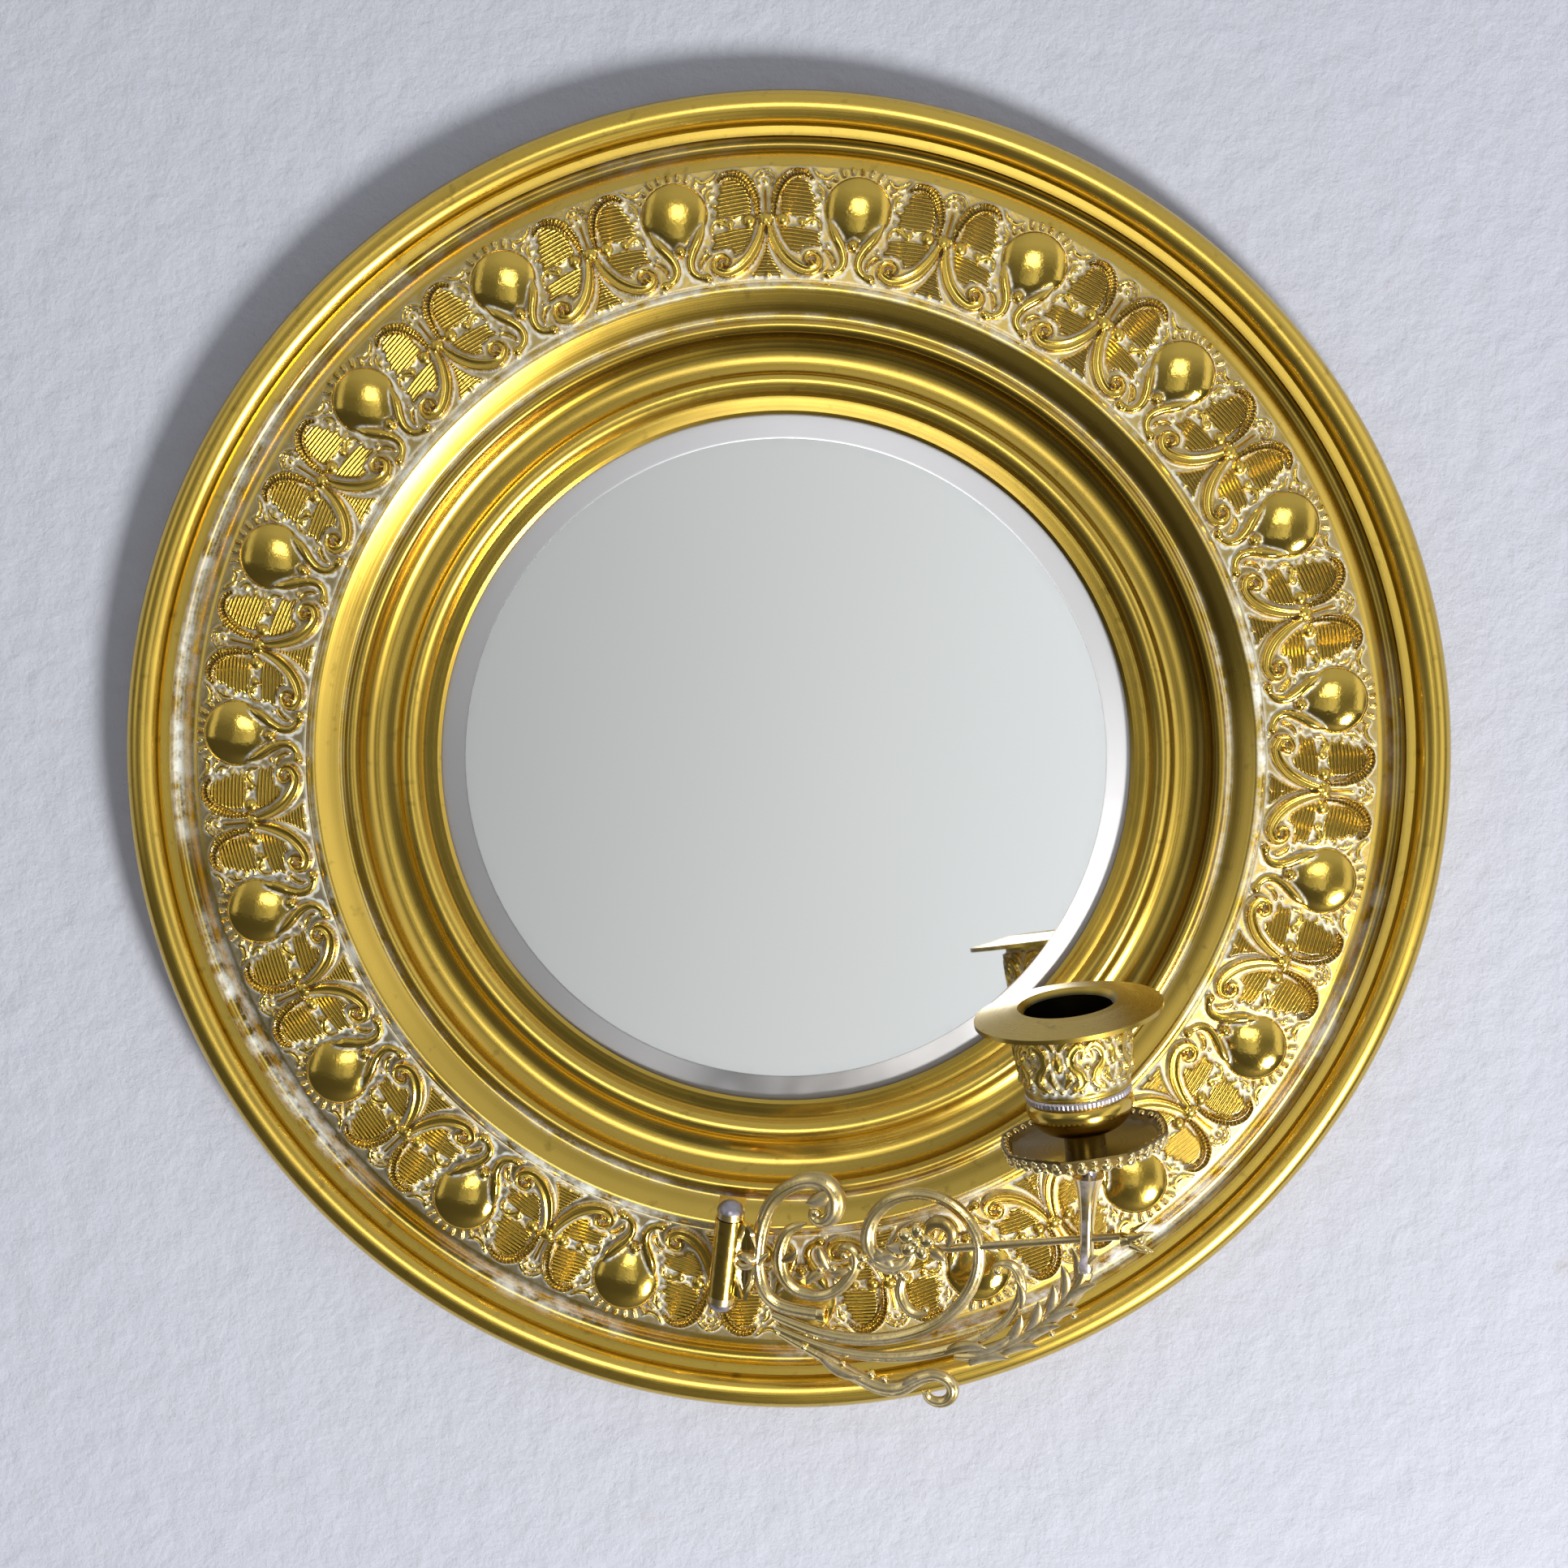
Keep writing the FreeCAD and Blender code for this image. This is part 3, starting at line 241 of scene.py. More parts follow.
def spun_brass(name, colour, tarnish, centre, along, rough=0.17, dull=0.5, shade_and_tarnish=(), rings=(),
               low_rings=(), residue=None, least=0.35):
    """Brass turned or spun about an axis. Its three tables of (radius in metres, level) stops give, in the
    order of the arguments:
    painted shade in the coves, partly tarnish, strongest towards the top; dried polish, with one ring of
    painted highlight on the plate; and dried polish low down, partly painted highlight."""
    nodes = Nodes(name)
    radius = radius_from(nodes, centre, along)
    clouds = nodes.noise(26.0, 4.0)
    specks = nodes.noise(240.0, 2.0, spread=(0.62, 0.74))
    lines = spun_lines(nodes, radius, 0.0007)
    base = nodes.mix(nodes.times(clouds, dull), tuple(colour),
                     tuple(c * 0.72 + t * 0.28 for c, t in zip(colour, tarnish)))
    where = nodes.add("SeparateXYZ", {"Vector": nodes.place()}).outputs
    # Painted light by place: how far up and to the right a point lies. It makes the painted shade stronger
    # towards the top and the right, and the low pale ring stronger low down and to the left.
    height = nodes.plus(nodes.times(where[2], 0.8), nodes.times(where[0], 0.5))
    # Painted shade in the coves and recesses, partly tarnish, mixed into the base colour.
    if shade_and_tarnish:
        dark = nodes.ramp(radius, RING_REACH, shade_and_tarnish)
        uneven = nodes.times(nodes.remap(nodes.noise(30.0, 3.0), 0, 1, 0.8, 1.0),
                            nodes.remap(height, -0.10, 0.06, least, 1.0))
        base = nodes.mix(nodes.times(dark, uneven), base, tuple(tarnish))
    base = nodes.mix(nodes.times(specks, 0.35), base, tuple(tarnish))
    behind = nodes.remap(nodes.facing()[1], 0.05, 0.25) if rings and shade_and_tarnish else 0.0
    if rings and shade_and_tarnish:
        base = nodes.mix(nodes.times(behind, nodes.remap(clouds, 0, 1, 0.6, 0.95)), base,
                         (0.30, 0.19, 0.06))
    roughness = nodes.plus(nodes.remap(clouds, 0, 1, rough, rough + 0.07),
                           nodes.remap(lines, 0.3, 0.7, -0.03, 0.05))
    roughness = nodes.plus(roughness, nodes.times(behind, 0.14))
    normal = nodes.bump(lines, 0.00002, 0.35)
    normal = nodes.bump(nodes.noise(40.0, 1.0), 0.00010, 0.10, normal)
    nodes.principled(Base_Color=base, Metallic=1.0, Roughness=roughness, Normal=normal,
                     Coat_Weight=0.35, Coat_Roughness=0.14)
    # A pale cover of dried polish; on the plate one of its rings is a painted highlight, and the low ring
    # is partly a painted highlight.
    if rings:
        level = nodes.ramp(radius, RING_REACH, rings)
        torn = nodes.noise(150.0, 5.0, 0.7, spread=(0.40, 0.62))
        wide = nodes.noise(14.0, 2.0, spread=(0.36, 0.60))
        lower = nodes.ramp(radius, RING_REACH, low_rings)
        lower = nodes.times(lower, nodes.remap(height, -0.06, 0.12, 1.0, 0.0))
        level = nodes.times(nodes.plus(level, lower),
                           nodes.times(torn, wide), clamp=True)
        level = nodes.times(level, nodes.math("SUBTRACT", 1.0, behind))
        nodes.cover(level, "BsdfDiffuse", Color=residue)
    return nodes.material


def worked_brass(name, colour, tarnish, residue, chalk=0.85, rough=0.20, grain=900.0, pit=0.00003,
                 patchy=0.3):
    """Brass whose hollows, marked on its mesh, hold tarnish and dried polish."""
    nodes = Nodes(name)
    hollow = nodes.attribute("hollow")
    chalky = nodes.attribute("chalk")
    clouds = nodes.noise(40.0, 4.0)
    torn = nodes.noise(420.0, 5.0, 0.7, spread=(0.26, 0.52))
    base = nodes.mix(nodes.times(clouds, 0.45), tuple(colour),
                     tuple(c * 0.70 + t * 0.30 for c, t in zip(colour, tarnish)))
    base = nodes.mix(nodes.times(hollow, 0.75, clamp=True), base, tuple(tarnish))
    stripes = nodes.math("SINE", nodes.times(nodes.attribute("stripe"), 2 * math.pi))
    furrow = nodes.times(nodes.remap(stripes, 0.2, -0.9, 0.0, 0.75), nodes.attribute("striped"))
    base = nodes.mix(furrow, base, tuple(tarnish))
    roughness = nodes.plus(nodes.remap(clouds, 0, 1, rough, rough + 0.08),
                           nodes.times(hollow, 0.18))
    relief = nodes.times(stripes, nodes.attribute("striped"))
    normal = nodes.bump(relief, 0.00045, 1.0)
    normal = nodes.bump(nodes.noise(grain, 3.0), pit, 0.5, normal)
    nodes.principled(Base_Color=base, Metallic=1.0, Roughness=roughness, Normal=normal,
                     Coat_Weight=0.35, Coat_Roughness=0.10)
    patches = nodes.remap(nodes.noise(60.0, 2.0), 0, 1, 1 - patchy, 1.0)
    level = nodes.times(nodes.times(chalky, nodes.times(torn, patches)),
                       chalk, clamp=True)
    nodes.cover(level, "BsdfDiffuse", Color=residue)
    return nodes.material


def plain_brass(name, colour, tarnish, rough=0.3, violet=0.0):
    """Brass with cloudy tarnish, for pieces with no marked hollows."""
    nodes = Nodes(name)
    clouds = nodes.noise(90.0, 5.0, 0.6)
    specks = nodes.noise(600.0, 3.0, spread=(0.55, 0.75))
    base = nodes.mix(nodes.times(clouds, 0.6), tuple(colour), tuple(tarnish))
    base = nodes.mix(nodes.times(nodes.noise(160.0, 4.0), violet), base, (0.42, 0.37, 0.40))
    base = nodes.mix(nodes.times(specks, 0.3), base, tuple(tarnish))
    normal = nodes.bump(nodes.noise(500.0, 4.0), 0.00005, 0.6)
    nodes.principled(Base_Color=base, Metallic=1.0, Normal=normal,
                     Roughness=nodes.remap(clouds, 0, 1, rough, rough + 0.15))
    return nodes.material


def steel_finish():
    nodes = Nodes("steel")
    clouds = nodes.noise(200.0, 4.0)
    base = nodes.mix(clouds, (0.44, 0.42, 0.47), (0.26, 0.24, 0.28))
    normal = nodes.bump(nodes.noise(900.0, 3.0), 0.00004, 0.6)
    nodes.principled(Base_Color=base, Metallic=1.0, Normal=normal,
                     Roughness=nodes.remap(clouds, 0, 1, 0.28, 0.45))
    return nodes.material


def mirror_finish():
    """Silvered glass: a clean reflection with a faint grey rim, partly aged silver and partly painted grey
    reflection, and a bevel painted plain grey as its reflection.
    """
    nodes = Nodes("mirror")
    radius = radius_from(nodes, *PLATE_AXIS)
    # Grey rim: partly aged silver, partly painted grey reflection over the bevel.
    edge = nodes.ramp(radius, 0.1, ((0.084, 0.0), (0.0885, 0.30), (0.093, 0.75), (0.097, 1.0)))
    foxing = nodes.noise(120.0, 6.0, 0.7, spread=(0.50, 0.72))
    aged_and_painted_grey = nodes.times(edge, nodes.remap(foxing, 0, 1, 0.25, 1.0))
    base = nodes.mix(aged_and_painted_grey, (0.93, 0.94, 0.935), (0.55, 0.54, 0.60))
    # Painted reflection: the bevel gets a plain grey colour, and more roughness.
    bevel = nodes.ramp(radius, 0.1, ((0.0868, 0.0), (0.0872, 1.0)))
    base = nodes.mix(bevel, base, (0.50, 0.50, 0.51))
    haze = nodes.remap(nodes.noise(18.0, 3.0), 0, 1, 0.015, 0.04)
    roughness = nodes.plus(haze, nodes.times(bevel, 0.42))
    normal = nodes.bump(nodes.noise(9.0, 1.0), 0.0004, 0.12)
    nodes.principled(Base_Color=base, Metallic=1.0, Roughness=roughness, Normal=normal)
    return nodes.material


def paper_finish():
    nodes = Nodes("paper")
    fibres = nodes.noise(700.0, 6.0, 0.7)
    base = nodes.mix(fibres, (0.50, 0.42, 0.30), (0.38, 0.30, 0.20))
    nodes.principled(Base_Color=base, Roughness=0.9, Normal=nodes.bump(fibres, 0.0001, 0.6))
    return nodes.material


def board_finish():
    """Plain softwood: rings stretched along the grain."""
    nodes = Nodes("board")
    stretched = nodes.add("Mapping", {"Vector": nodes.place(), "Scale": (60.0, 60.0, 3.0)}).outputs[0]
    rings = nodes.add("TexWave", {"Vector": stretched, "Scale": 0.55, "Distortion": 3.5, "Detail": 3.0},
                      wave_type="BANDS", bands_direction="X").outputs[1]
    fibres = nodes.noise(9.0, 5.0, 0.7, vector=stretched)
    base = nodes.mix(rings, (0.42, 0.27, 0.13), (0.27, 0.155, 0.07))
    base = nodes.mix(nodes.times(fibres, 0.5), base, (0.17, 0.10, 0.05))
    nodes.principled(Base_Color=base, Roughness=nodes.remap(fibres, 0, 1, 0.6, 0.85),
                     Normal=nodes.bump(fibres, 0.0002, 0.7))
    return nodes.material


def wall_finish(colour):
    """Matt paint on rough plaster, seen from its front only and open behind the plate, so that the
    back of the mirror can be viewed and is lit."""
    nodes = Nodes("painted_wall")
    broad = nodes.noise(5.0, 4.0)
    fleck = nodes.noise(90.0, 6.0, 0.7, spread=(0.3, 0.7))
    lumps = nodes.add("TexVoronoi", {"Vector": nodes.place(), "Scale": 130.0},
                      feature="SMOOTH_F1").outputs[0]
    spots = nodes.noise(38.0, 2.0, spread=(0.70, 0.76))
    base = nodes.mix(nodes.times(broad, 0.5), tuple(colour), tuple(c * 0.94 for c in colour))
    base = nodes.mix(nodes.times(fleck, 0.25), base, tuple(min(1, c * 1.1) for c in colour))
    base = nodes.mix(nodes.times(spots, 0.35), base, (0.36, 0.33, 0.33))
    normal = nodes.bump(fleck, 0.0008, 0.6)
    normal = nodes.bump(lumps, 0.0010, 0.35, normal)
    nodes.principled(Base_Color=base, Roughness=0.85, Normal=normal)
    hidden = nodes.math("LESS_THAN", radius_from(nodes, *PLATE_AXIS), WALL_OPENING)
    behind = nodes.add("NewGeometry").outputs["Backfacing"]
    nodes.cover(nodes.math("MAXIMUM", behind, hidden), "BsdfTransparent")
    return nodes.material


def floor_finish():
    """Pale to the camera only, so that the brass sees a dark floor."""
    nodes = Nodes("pale_floor")
    seen = nodes.add("LightPath").outputs["Is Camera Ray"]
    pale = nodes.mix(nodes.noise(30.0, 4.0), (0.80, 0.80, 0.82), (0.74, 0.74, 0.76))
    nodes.principled(Base_Color=nodes.mix(seen, (0.15, 0.145, 0.135), pale), Roughness=0.8)
    return nodes.material


# ---------------------------------------------------------------------------------------
# Modelling helpers

def only(*objects):
    """Selects these objects alone and makes the first one active."""
    if bpy.context.object and bpy.context.object.mode != "OBJECT":
        bpy.ops.object.mode_set(mode="OBJECT")
    bpy.ops.object.select_all(action="DESELECT")
    for one in objects:
        one.select_set(True)
    if objects:
        bpy.context.view_layer.objects.active = objects[0]


def edit_all(*steps):
    """Runs steps of edit mode on the active object, each with everything selected."""
    bpy.ops.object.mode_set(mode="EDIT")
    for step in steps:
        bpy.ops.mesh.select_all(action="SELECT")
        step()
    bpy.ops.object.mode_set(mode="OBJECT")


def added():
    """The object that the last operator added."""
    return bpy.context.object


def apply_modifier(piece, kind, **settings):
    modifier = piece.modifiers.new(kind, kind)
    for key, value in settings.items():
        setattr(modifier, key, value)
    bpy.ops.object.modifier_apply(modifier=modifier.name)


def points_of(piece):
    flat = np.empty(len(piece.data.vertices) * 3)
    piece.data.vertices.foreach_get("co", flat)
    return flat.reshape(-1, 3)


def move_points(piece, places):
    piece.data.vertices.foreach_set("co", np.asarray(places, float).ravel())
    piece.data.update()


def mark(piece, **marks):
    """Writes numbers for each point of a piece, which its finish reads by name."""
    for name, values in marks.items():
        layer = piece.data.attributes.get(name) or piece.data.attributes.new(name, "FLOAT", "POINT")
        layer.data.foreach_set("value", np.asarray(values, np.float32))


def neighbour_mean(values, pairs, count):
    total = np.zeros_like(values, dtype=float)
    tally = np.zeros(count)
    for a, b in ((pairs[:, 0], pairs[:, 1]), (pairs[:, 1], pairs[:, 0])):
        np.add.at(total, a, values[b])
        np.add.at(tally, a, 1)
    tally = np.maximum(tally, 1)
    return total / (tally[:, None] if values.ndim > 1 else tally)


def mark_hollows(piece):
    """Writes how deep in a hollow each point lies, for tarnish and dried polish."""
    count = len(piece.data.vertices)
    pairs = np.empty(len(piece.data.edges) * 2, int)
    piece.data.edges.foreach_get("vertices", pairs)
    pairs = pairs.reshape(-1, 2)
    places = points_of(piece)
    normals = np.empty(count * 3)
    piece.data.vertices.foreach_get("normal", normals)
    normals = normals.reshape(-1, 3)
    step = np.linalg.norm(places[pairs[:, 0]] - places[pairs[:, 1]], axis=1).mean()
    level = ((neighbour_mean(places, pairs, count) - places) * normals).sum(1) / step
    for _ in range(2):
        level = 0.4 * level + 0.6 * neighbour_mean(level, pairs, count)
    hollow = np.clip(level * 8.8, 0, 1)
    mark(piece, hollow=hollow, chalk=np.clip(hollow * 1.3, 0, 1), stripe=np.zeros(count),
         striped=np.zeros(count))


def finish_piece(piece, name, material, body, place=None, smooth=40.0, replaces=()):
    """Puts a piece's place in its mesh, names it, gives it its finish and hangs it on its body."""
    if place is not None:
        piece.data.transform(place)
    only(piece)
    bpy.ops.object.transform_apply(location=True, rotation=True, scale=True)
    bpy.ops.object.shade_smooth_by_angle(angle=math.radians(smooth))
    piece.name = name
    piece.data.name = name
    piece.data.materials.clear()
    piece.data.materials.append(material)
    if "hollow" not in piece.data.attributes:
        mark_hollows(piece)
    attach(piece, body)
    if replaces:
        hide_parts(*replaces)
    only()
    return piece


def joined(pieces):
    only(*pieces)
    if len(pieces) > 1:
        bpy.ops.object.join()
    return bpy.context.object


def repeated(context, piece, count):
    """The piece and copies of it, each with its own mesh."""
    copies = [piece]
    for _ in range(count - 1):
        twin = piece.copy()
        twin.data = piece.data.copy()
        context.collection.objects.link(twin)
        copies.append(twin)
    return copies


def placed(piece, at, *turns, size=1.0):
    """Resizes a piece, turns it about the axes named, the last one first, and moves it."""
    place = Matrix.Translation(at)
    for angle, axis in turns:
        place = place @ Matrix.Rotation(angle, 4, axis)
    piece.data.transform(place @ Matrix.Scale(size, 4))
    return piece


def grid(columns, rows):
    """A flat grid from -1 to 1 both ways, with its points."""
    only()
    bpy.ops.mesh.primitive_grid_add(x_subdivisions=columns, y_subdivisions=rows, size=2.0)
    return added(), points_of(added())


def ball(centre, radius, squash=(1, 1, 1), segments=16, rings=10):
    only()
    bpy.ops.mesh.primitive_uv_sphere_add(segments=segments, ring_count=rings, radius=radius)
    piece = added()
    piece.data.transform(Matrix.Translation(centre) @ Matrix.Diagonal((*squash, 1)))
    return piece


RIDGED = ((1.0, 0.0), (0.94, 0.36), (0.72, 0.56), (0.44, 0.58), (0.26, 0.80), (0.0, 0.92),
          (-0.26, 0.80), (-0.44, 0.58), (-0.72, 0.56), (-0.94, 0.36))
LENTIL = ((1.0, 0.0), (0.8, 0.34), (0.45, 0.50), (0.0, 0.66), (-0.45, 0.50), (-0.8, 0.34))
ROUND = tuple((math.cos(i * math.pi / 8), math.sin(i * math.pi / 8)) for i in range(8))


def swept(route, widths, section=RIDGED, steps=6):
    """A rod along a route of two or three numbers a point, with its half widths at the points."""
    whole = section + tuple((-x, -y) for x, y in section)
    only()
    bpy.ops.curve.primitive_nurbs_path_add()
    outline = added()
    outline.data.dimensions = "2D"
    outline.data.fill_mode = "NONE"
    outline.data.splines.clear()
    ring = outline.data.splines.new("POLY")
    ring.points.add(len(whole) - 1)
    for point, (x, y) in zip(ring.points, whole):
        point.co = (x, y, 0, 1)
    ring.use_cyclic_u = True
    bpy.ops.curve.primitive_nurbs_path_add()
    path = added()
    path.data.dimensions = "3D"
    path.data.twist_mode = "Z_UP"
    path.data.splines.clear()
    line = path.data.splines.new("NURBS")
    line.points.add(len(route) - 1)
    for point, place, width in zip(line.points, route, widths):
        point.co = (*place, 0, 0)[:3] + (1,)
        point.radius = width
    line.order_u = 3
    line.use_endpoint_u = True
    line.resolution_u = steps
    path.data.bevel_mode = "OBJECT"
    path.data.bevel_object = outline
    path.data.use_fill_caps = True
    only(path)
    bpy.ops.object.convert(target="MESH")
    piece = added()
    bpy.data.objects.remove(outline)
    return piece


def turned(profile, steps=64):
    """Spins a profile of (radius, height) points about Z into a closed piece."""
    only()
    bpy.ops.mesh.primitive_circle_add(vertices=len(profile), radius=1.0, fill_type="NOTHING")
    piece = added()
    move_points(piece, [(r, 0, h) for r, h in profile])
    edit_all(lambda: bpy.ops.mesh.spin(steps=steps, angle=2 * math.pi, center=(0, 0, 0), axis=(0, 0, 1),
                                       dupli=False),
             lambda: bpy.ops.mesh.remove_doubles(threshold=0.0005),
             lambda: bpy.ops.mesh.normals_make_consistent(inside=False))
    return piece


def grid_leaf(length, width, curl, lobes):
    """A pointed leaf along X with a midrib and a lobed edge, cupped and curled upwards."""
    piece, places = grid(20, 10)
    along = (places[:, 0] + 1) / 2
    across = places[:, 1]
    edge = np.sin(np.pi * np.clip(along, 0, 1) ** 0.8) ** 0.75
    edge *= 1 + 0.13 * np.cos(2 * np.pi * lobes * along)
    half = width / 2 * np.maximum(edge, 0.03)
    rib = 0.30 * np.exp(-(across / 0.16) ** 2)
    veins = 0.05 * np.cos(2 * np.pi * (lobes * along - 1.1 * np.abs(across)))
    height = rib + veins * np.abs(across) + 0.22 * width * across ** 2 + curl * along ** 2
    move_points(piece, np.c_[along * length, across * half, height])
    apply_modifier(piece, "SOLIDIFY", thickness=1.0)
    return piece


def tongue(root, tip, width, bow=0.0, rise=1.0):
    """A plump pointed leaf that bows to one side and lifts its tip."""
    root, way = Vector(root), Vector(tip) - Vector(root)
    side = Vector((-way.y, way.x)) * bow
    route = []
    for t in (0.0, 0.2, 0.45, 0.7, 0.9, 1.0):
        u, v = root + way * t + side * 4 * t * (1 - t)
        route.append((u, v, 0.9 + rise * t * t))
    return swept(route, [width * share for share in (0.22, 0.42, 0.50, 0.42, 0.24, 0.05)], LENTIL)


# ---------------------------------------------------------------------------------------
# Relief drawn on a grid: every form is a height over the ground, in millimetres

FAR = 9.0      # where no form is near, in millimetres


class Relief:
    """Heights over a grid, with how far outside the forms each point lies and its hatching."""

    def __init__(self, across, up):
        self.u, self.v = across, up
        self.height = np.zeros_like(across)
        self.outside = np.full_like(across, FAR)
        self.stripe = np.zeros_like(across)
        self.striped = np.zeros_like(across)

    def raise_to(self, level, distance):
        self.height = np.maximum(self.height, level)
        self.outside = np.minimum(self.outside, distance)

    def draw(self, strokes, side=1):
        for form, points, *rest in strokes:
            getattr(self, form)([(side * u, *others) for u, *others in points], *rest)

    def draw_halves(self, strokes):
        """Draws the strokes on both sides of the middle line."""
        self.draw(strokes, -1)
        self.draw(strokes)

    def beads(self, spots, rise=0.85):
        """Round beads, as (place, place, radius)."""
        for u, v, radius in spots:
            away = np.hypot(self.u - u, self.v - v)
            dome = rise * np.sqrt(np.clip(radius ** 2 - away ** 2, 0, None))
            self.raise_to(dome, away - radius)

    def ribbon(self, route, widths, top, ribbed=0.0, edge=0.40):
        """A raised band with bright edges. widths are its half widths at the route's points."""
        t = np.linspace(0, 1, 160)
        knots = np.linspace(0, 1, len(route))
        route = np.asarray(route, float)
        smooth = np.c_[curve_through(knots, route[:, 0], t), curve_through(knots, route[:, 1], t)]
        wide = np.interp(t, knots, widths)
        length = np.r_[0, np.cumsum(np.hypot(*np.diff(smooth, axis=0).T))]
        away = np.hypot(self.u[..., None] - smooth[:, 0], self.v[..., None] - smooth[:, 1])
        near = (away - wide).argmin(-1)
        gap = np.take_along_axis(away, near[..., None], -1)[..., 0]
        half = wide[near]
        share = gap / half
        body = top * (1 - edge + edge * np.exp(-((share - 0.66) / 0.24) ** 2))
        body = body * smooth_step(1.12 - share, 0.0, 0.30)
        mine = (share < 1.0) & (body >= self.height)
        if ribbed:
            self.stripe = np.where(mine, length[near] / ribbed, self.stripe)
            self.striped = np.where(mine, smooth_step(1.0 - share, 0.1, 0.45) * 0.9, self.striped)
        else:
            self.striped = np.where(mine, 0.0, self.striped)
        self.raise_to(body, gap - half)

    def lobe(self, outline, top, hatch=0.0, slant=0.0, soft=1.3):
        """A low cushion inside an outline, hatched across the band and slanting away from the middle."""
        ring = np.asarray(outline, float)
        after = np.roll(ring, -1, axis=0)
        inside = np.zeros(self.u.shape, bool)
        nearest = np.full(self.u.shape, 99.0)
        for (x0, y0), (x1, y1) in zip(ring, after):
            dx, dy = x1 - x0, y1 - y0
            share = np.clip(((self.u - x0) * dx + (self.v - y0) * dy) / (dx * dx + dy * dy), 0, 1)
            nearest = np.minimum(nearest, np.hypot(self.u - x0 - share * dx, self.v - y0 - share * dy))
            crosses = (y0 > self.v) != (y1 > self.v)
            at = x0 + (self.v - y0) * dx / (dy if dy else 1e-9)
            inside ^= crosses & (self.u < at)
        signed = np.where(inside, -nearest, nearest)
        body = top * smooth_step(-signed, -0.15, soft)
        mine = inside & (body >= self.height)
        if hatch:
            self.stripe = np.where(mine, (self.v + slant * np.abs(self.u)) / hatch, self.stripe)
            self.striped = np.where(mine, 0.6 * smooth_step(-signed, 0.25, 0.8), self.striped)
        self.raise_to(body, signed)


def smooth_step(value, low, high):
    share = np.clip((value - low) / (high - low), 0, 1)
    return share * share * (3 - 2 * share)


def curve_through(knots, values, t):
    """Smooth curve through evenly spaced values."""
    values = np.asarray(values, float)
    padded = np.r_[2 * values[0] - values[1], values, 2 * values[-1] - values[-2]]
    at = np.clip(t, 0, 1) * (len(values) - 1)
    cell = np.minimum(at.astype(int), len(values) - 2)
    s = at - cell
    a, b, c, d = (padded[cell + i] for i in range(4))
    return 0.5 * (2 * b + (c - a) * s + (2 * a - 5 * b + 4 * c - d) * s ** 2
                  + (3 * b - a - 3 * c + d) * s ** 3)


# The plate's section, as radius and height over the wall: its face from the lip to the rolled edge,
# and its back from there to the lip.
PLATE_FACE = (
    (93.5, 11.9), (94.5, 12.5), (97.6, 12.2), (98.4, 12), (99.4, 13.2), (99.66, 13.57), (99.98, 13.9),
    (100.33, 14.19), (100.73, 14.42), (101.15, 14.59), (101.59, 14.7), (102.05, 14.75), (102.5, 14.74),
    (102.95, 14.66), (103.39, 14.52), (103.79, 14.31), (104.17, 14.06), (104.51, 13.75), (104.8, 13.4),
    (105.74, 12.89), (106.73, 12.51), (107.77, 12.27), (108.83, 12.16), (109.9, 12.2), (110.76, 12.34),
    (111.6, 12.6), (112.39, 12.97), (113.11, 13.46), (113.76, 14.05), (114.31, 14.73), (114.76, 15.48),
    (115.09, 16.28), (115.31, 17.13), (115.4, 18), (115.54, 18.26), (115.71, 18.49), (115.92, 18.7),
    (116.15, 18.87), (116.41, 19.02), (116.68, 19.12), (116.96, 19.18), (117.25, 19.2), (117.55, 19.18),
    (117.83, 19.12), (118.1, 19.02), (118.36, 18.88), (118.59, 18.71), (118.97, 18.35), (119.15, 18.23),
    (119.36, 18.14), (119.57, 18.07), (119.79, 18.04), (120.01, 18.04), (120.23, 18.07), (120.44, 18.14),
    (120.65, 18.23), (120.83, 18.35), (121, 18.5), (125.9, 21.2), (126.14, 21.37), (126.4, 21.51),
    (126.68, 21.61), (126.97, 21.66), (127.27, 21.67), (127.56, 21.64), (127.85, 21.57), (128.12, 21.46),
    (128.37, 21.3), (128.6, 21.12), (128.8, 20.9), (160.3, 14.2), (161.3, 13.6), (163.6, 11.4),
    (163.77, 11.14), (163.98, 10.9), (164.22, 10.69), (164.48, 10.53), (164.77, 10.39), (165.07, 10.31),
    (165.39, 10.26), (165.7, 10.26), (166.01, 10.31), (166.32, 10.4), (166.6, 10.53), (166.87, 10.7),
    (167.1, 10.91), (167.31, 11.15), (167.48, 11.41), (167.61, 11.7), (167.7, 12), (170.2, 12),
    (171.2, 10.9), (171.51, 11.48), (171.91, 12.01), (172.37, 12.47), (172.9, 12.87), (173.48, 13.19),
    (174.1, 13.41), (174.74, 13.55), (175.4, 13.6), (176.06, 13.55), (176.7, 13.41), (177.31, 13.18),
    (177.89, 12.87), (178.41, 12.48), (178.88, 12.01), (179.27, 11.49), (179.58, 10.91), (179.81, 10.3),
    (179.95, 9.65), (180, 9), (179.95, 8.35), (179.81, 7.7), (179.58, 7.09), (179.27, 6.51),
    (178.88, 5.99), (178.41, 5.52), (177.89, 5.13), (177.31, 4.82), (176.7, 4.59), (176.06, 4.45),
    (175.4, 4.4))
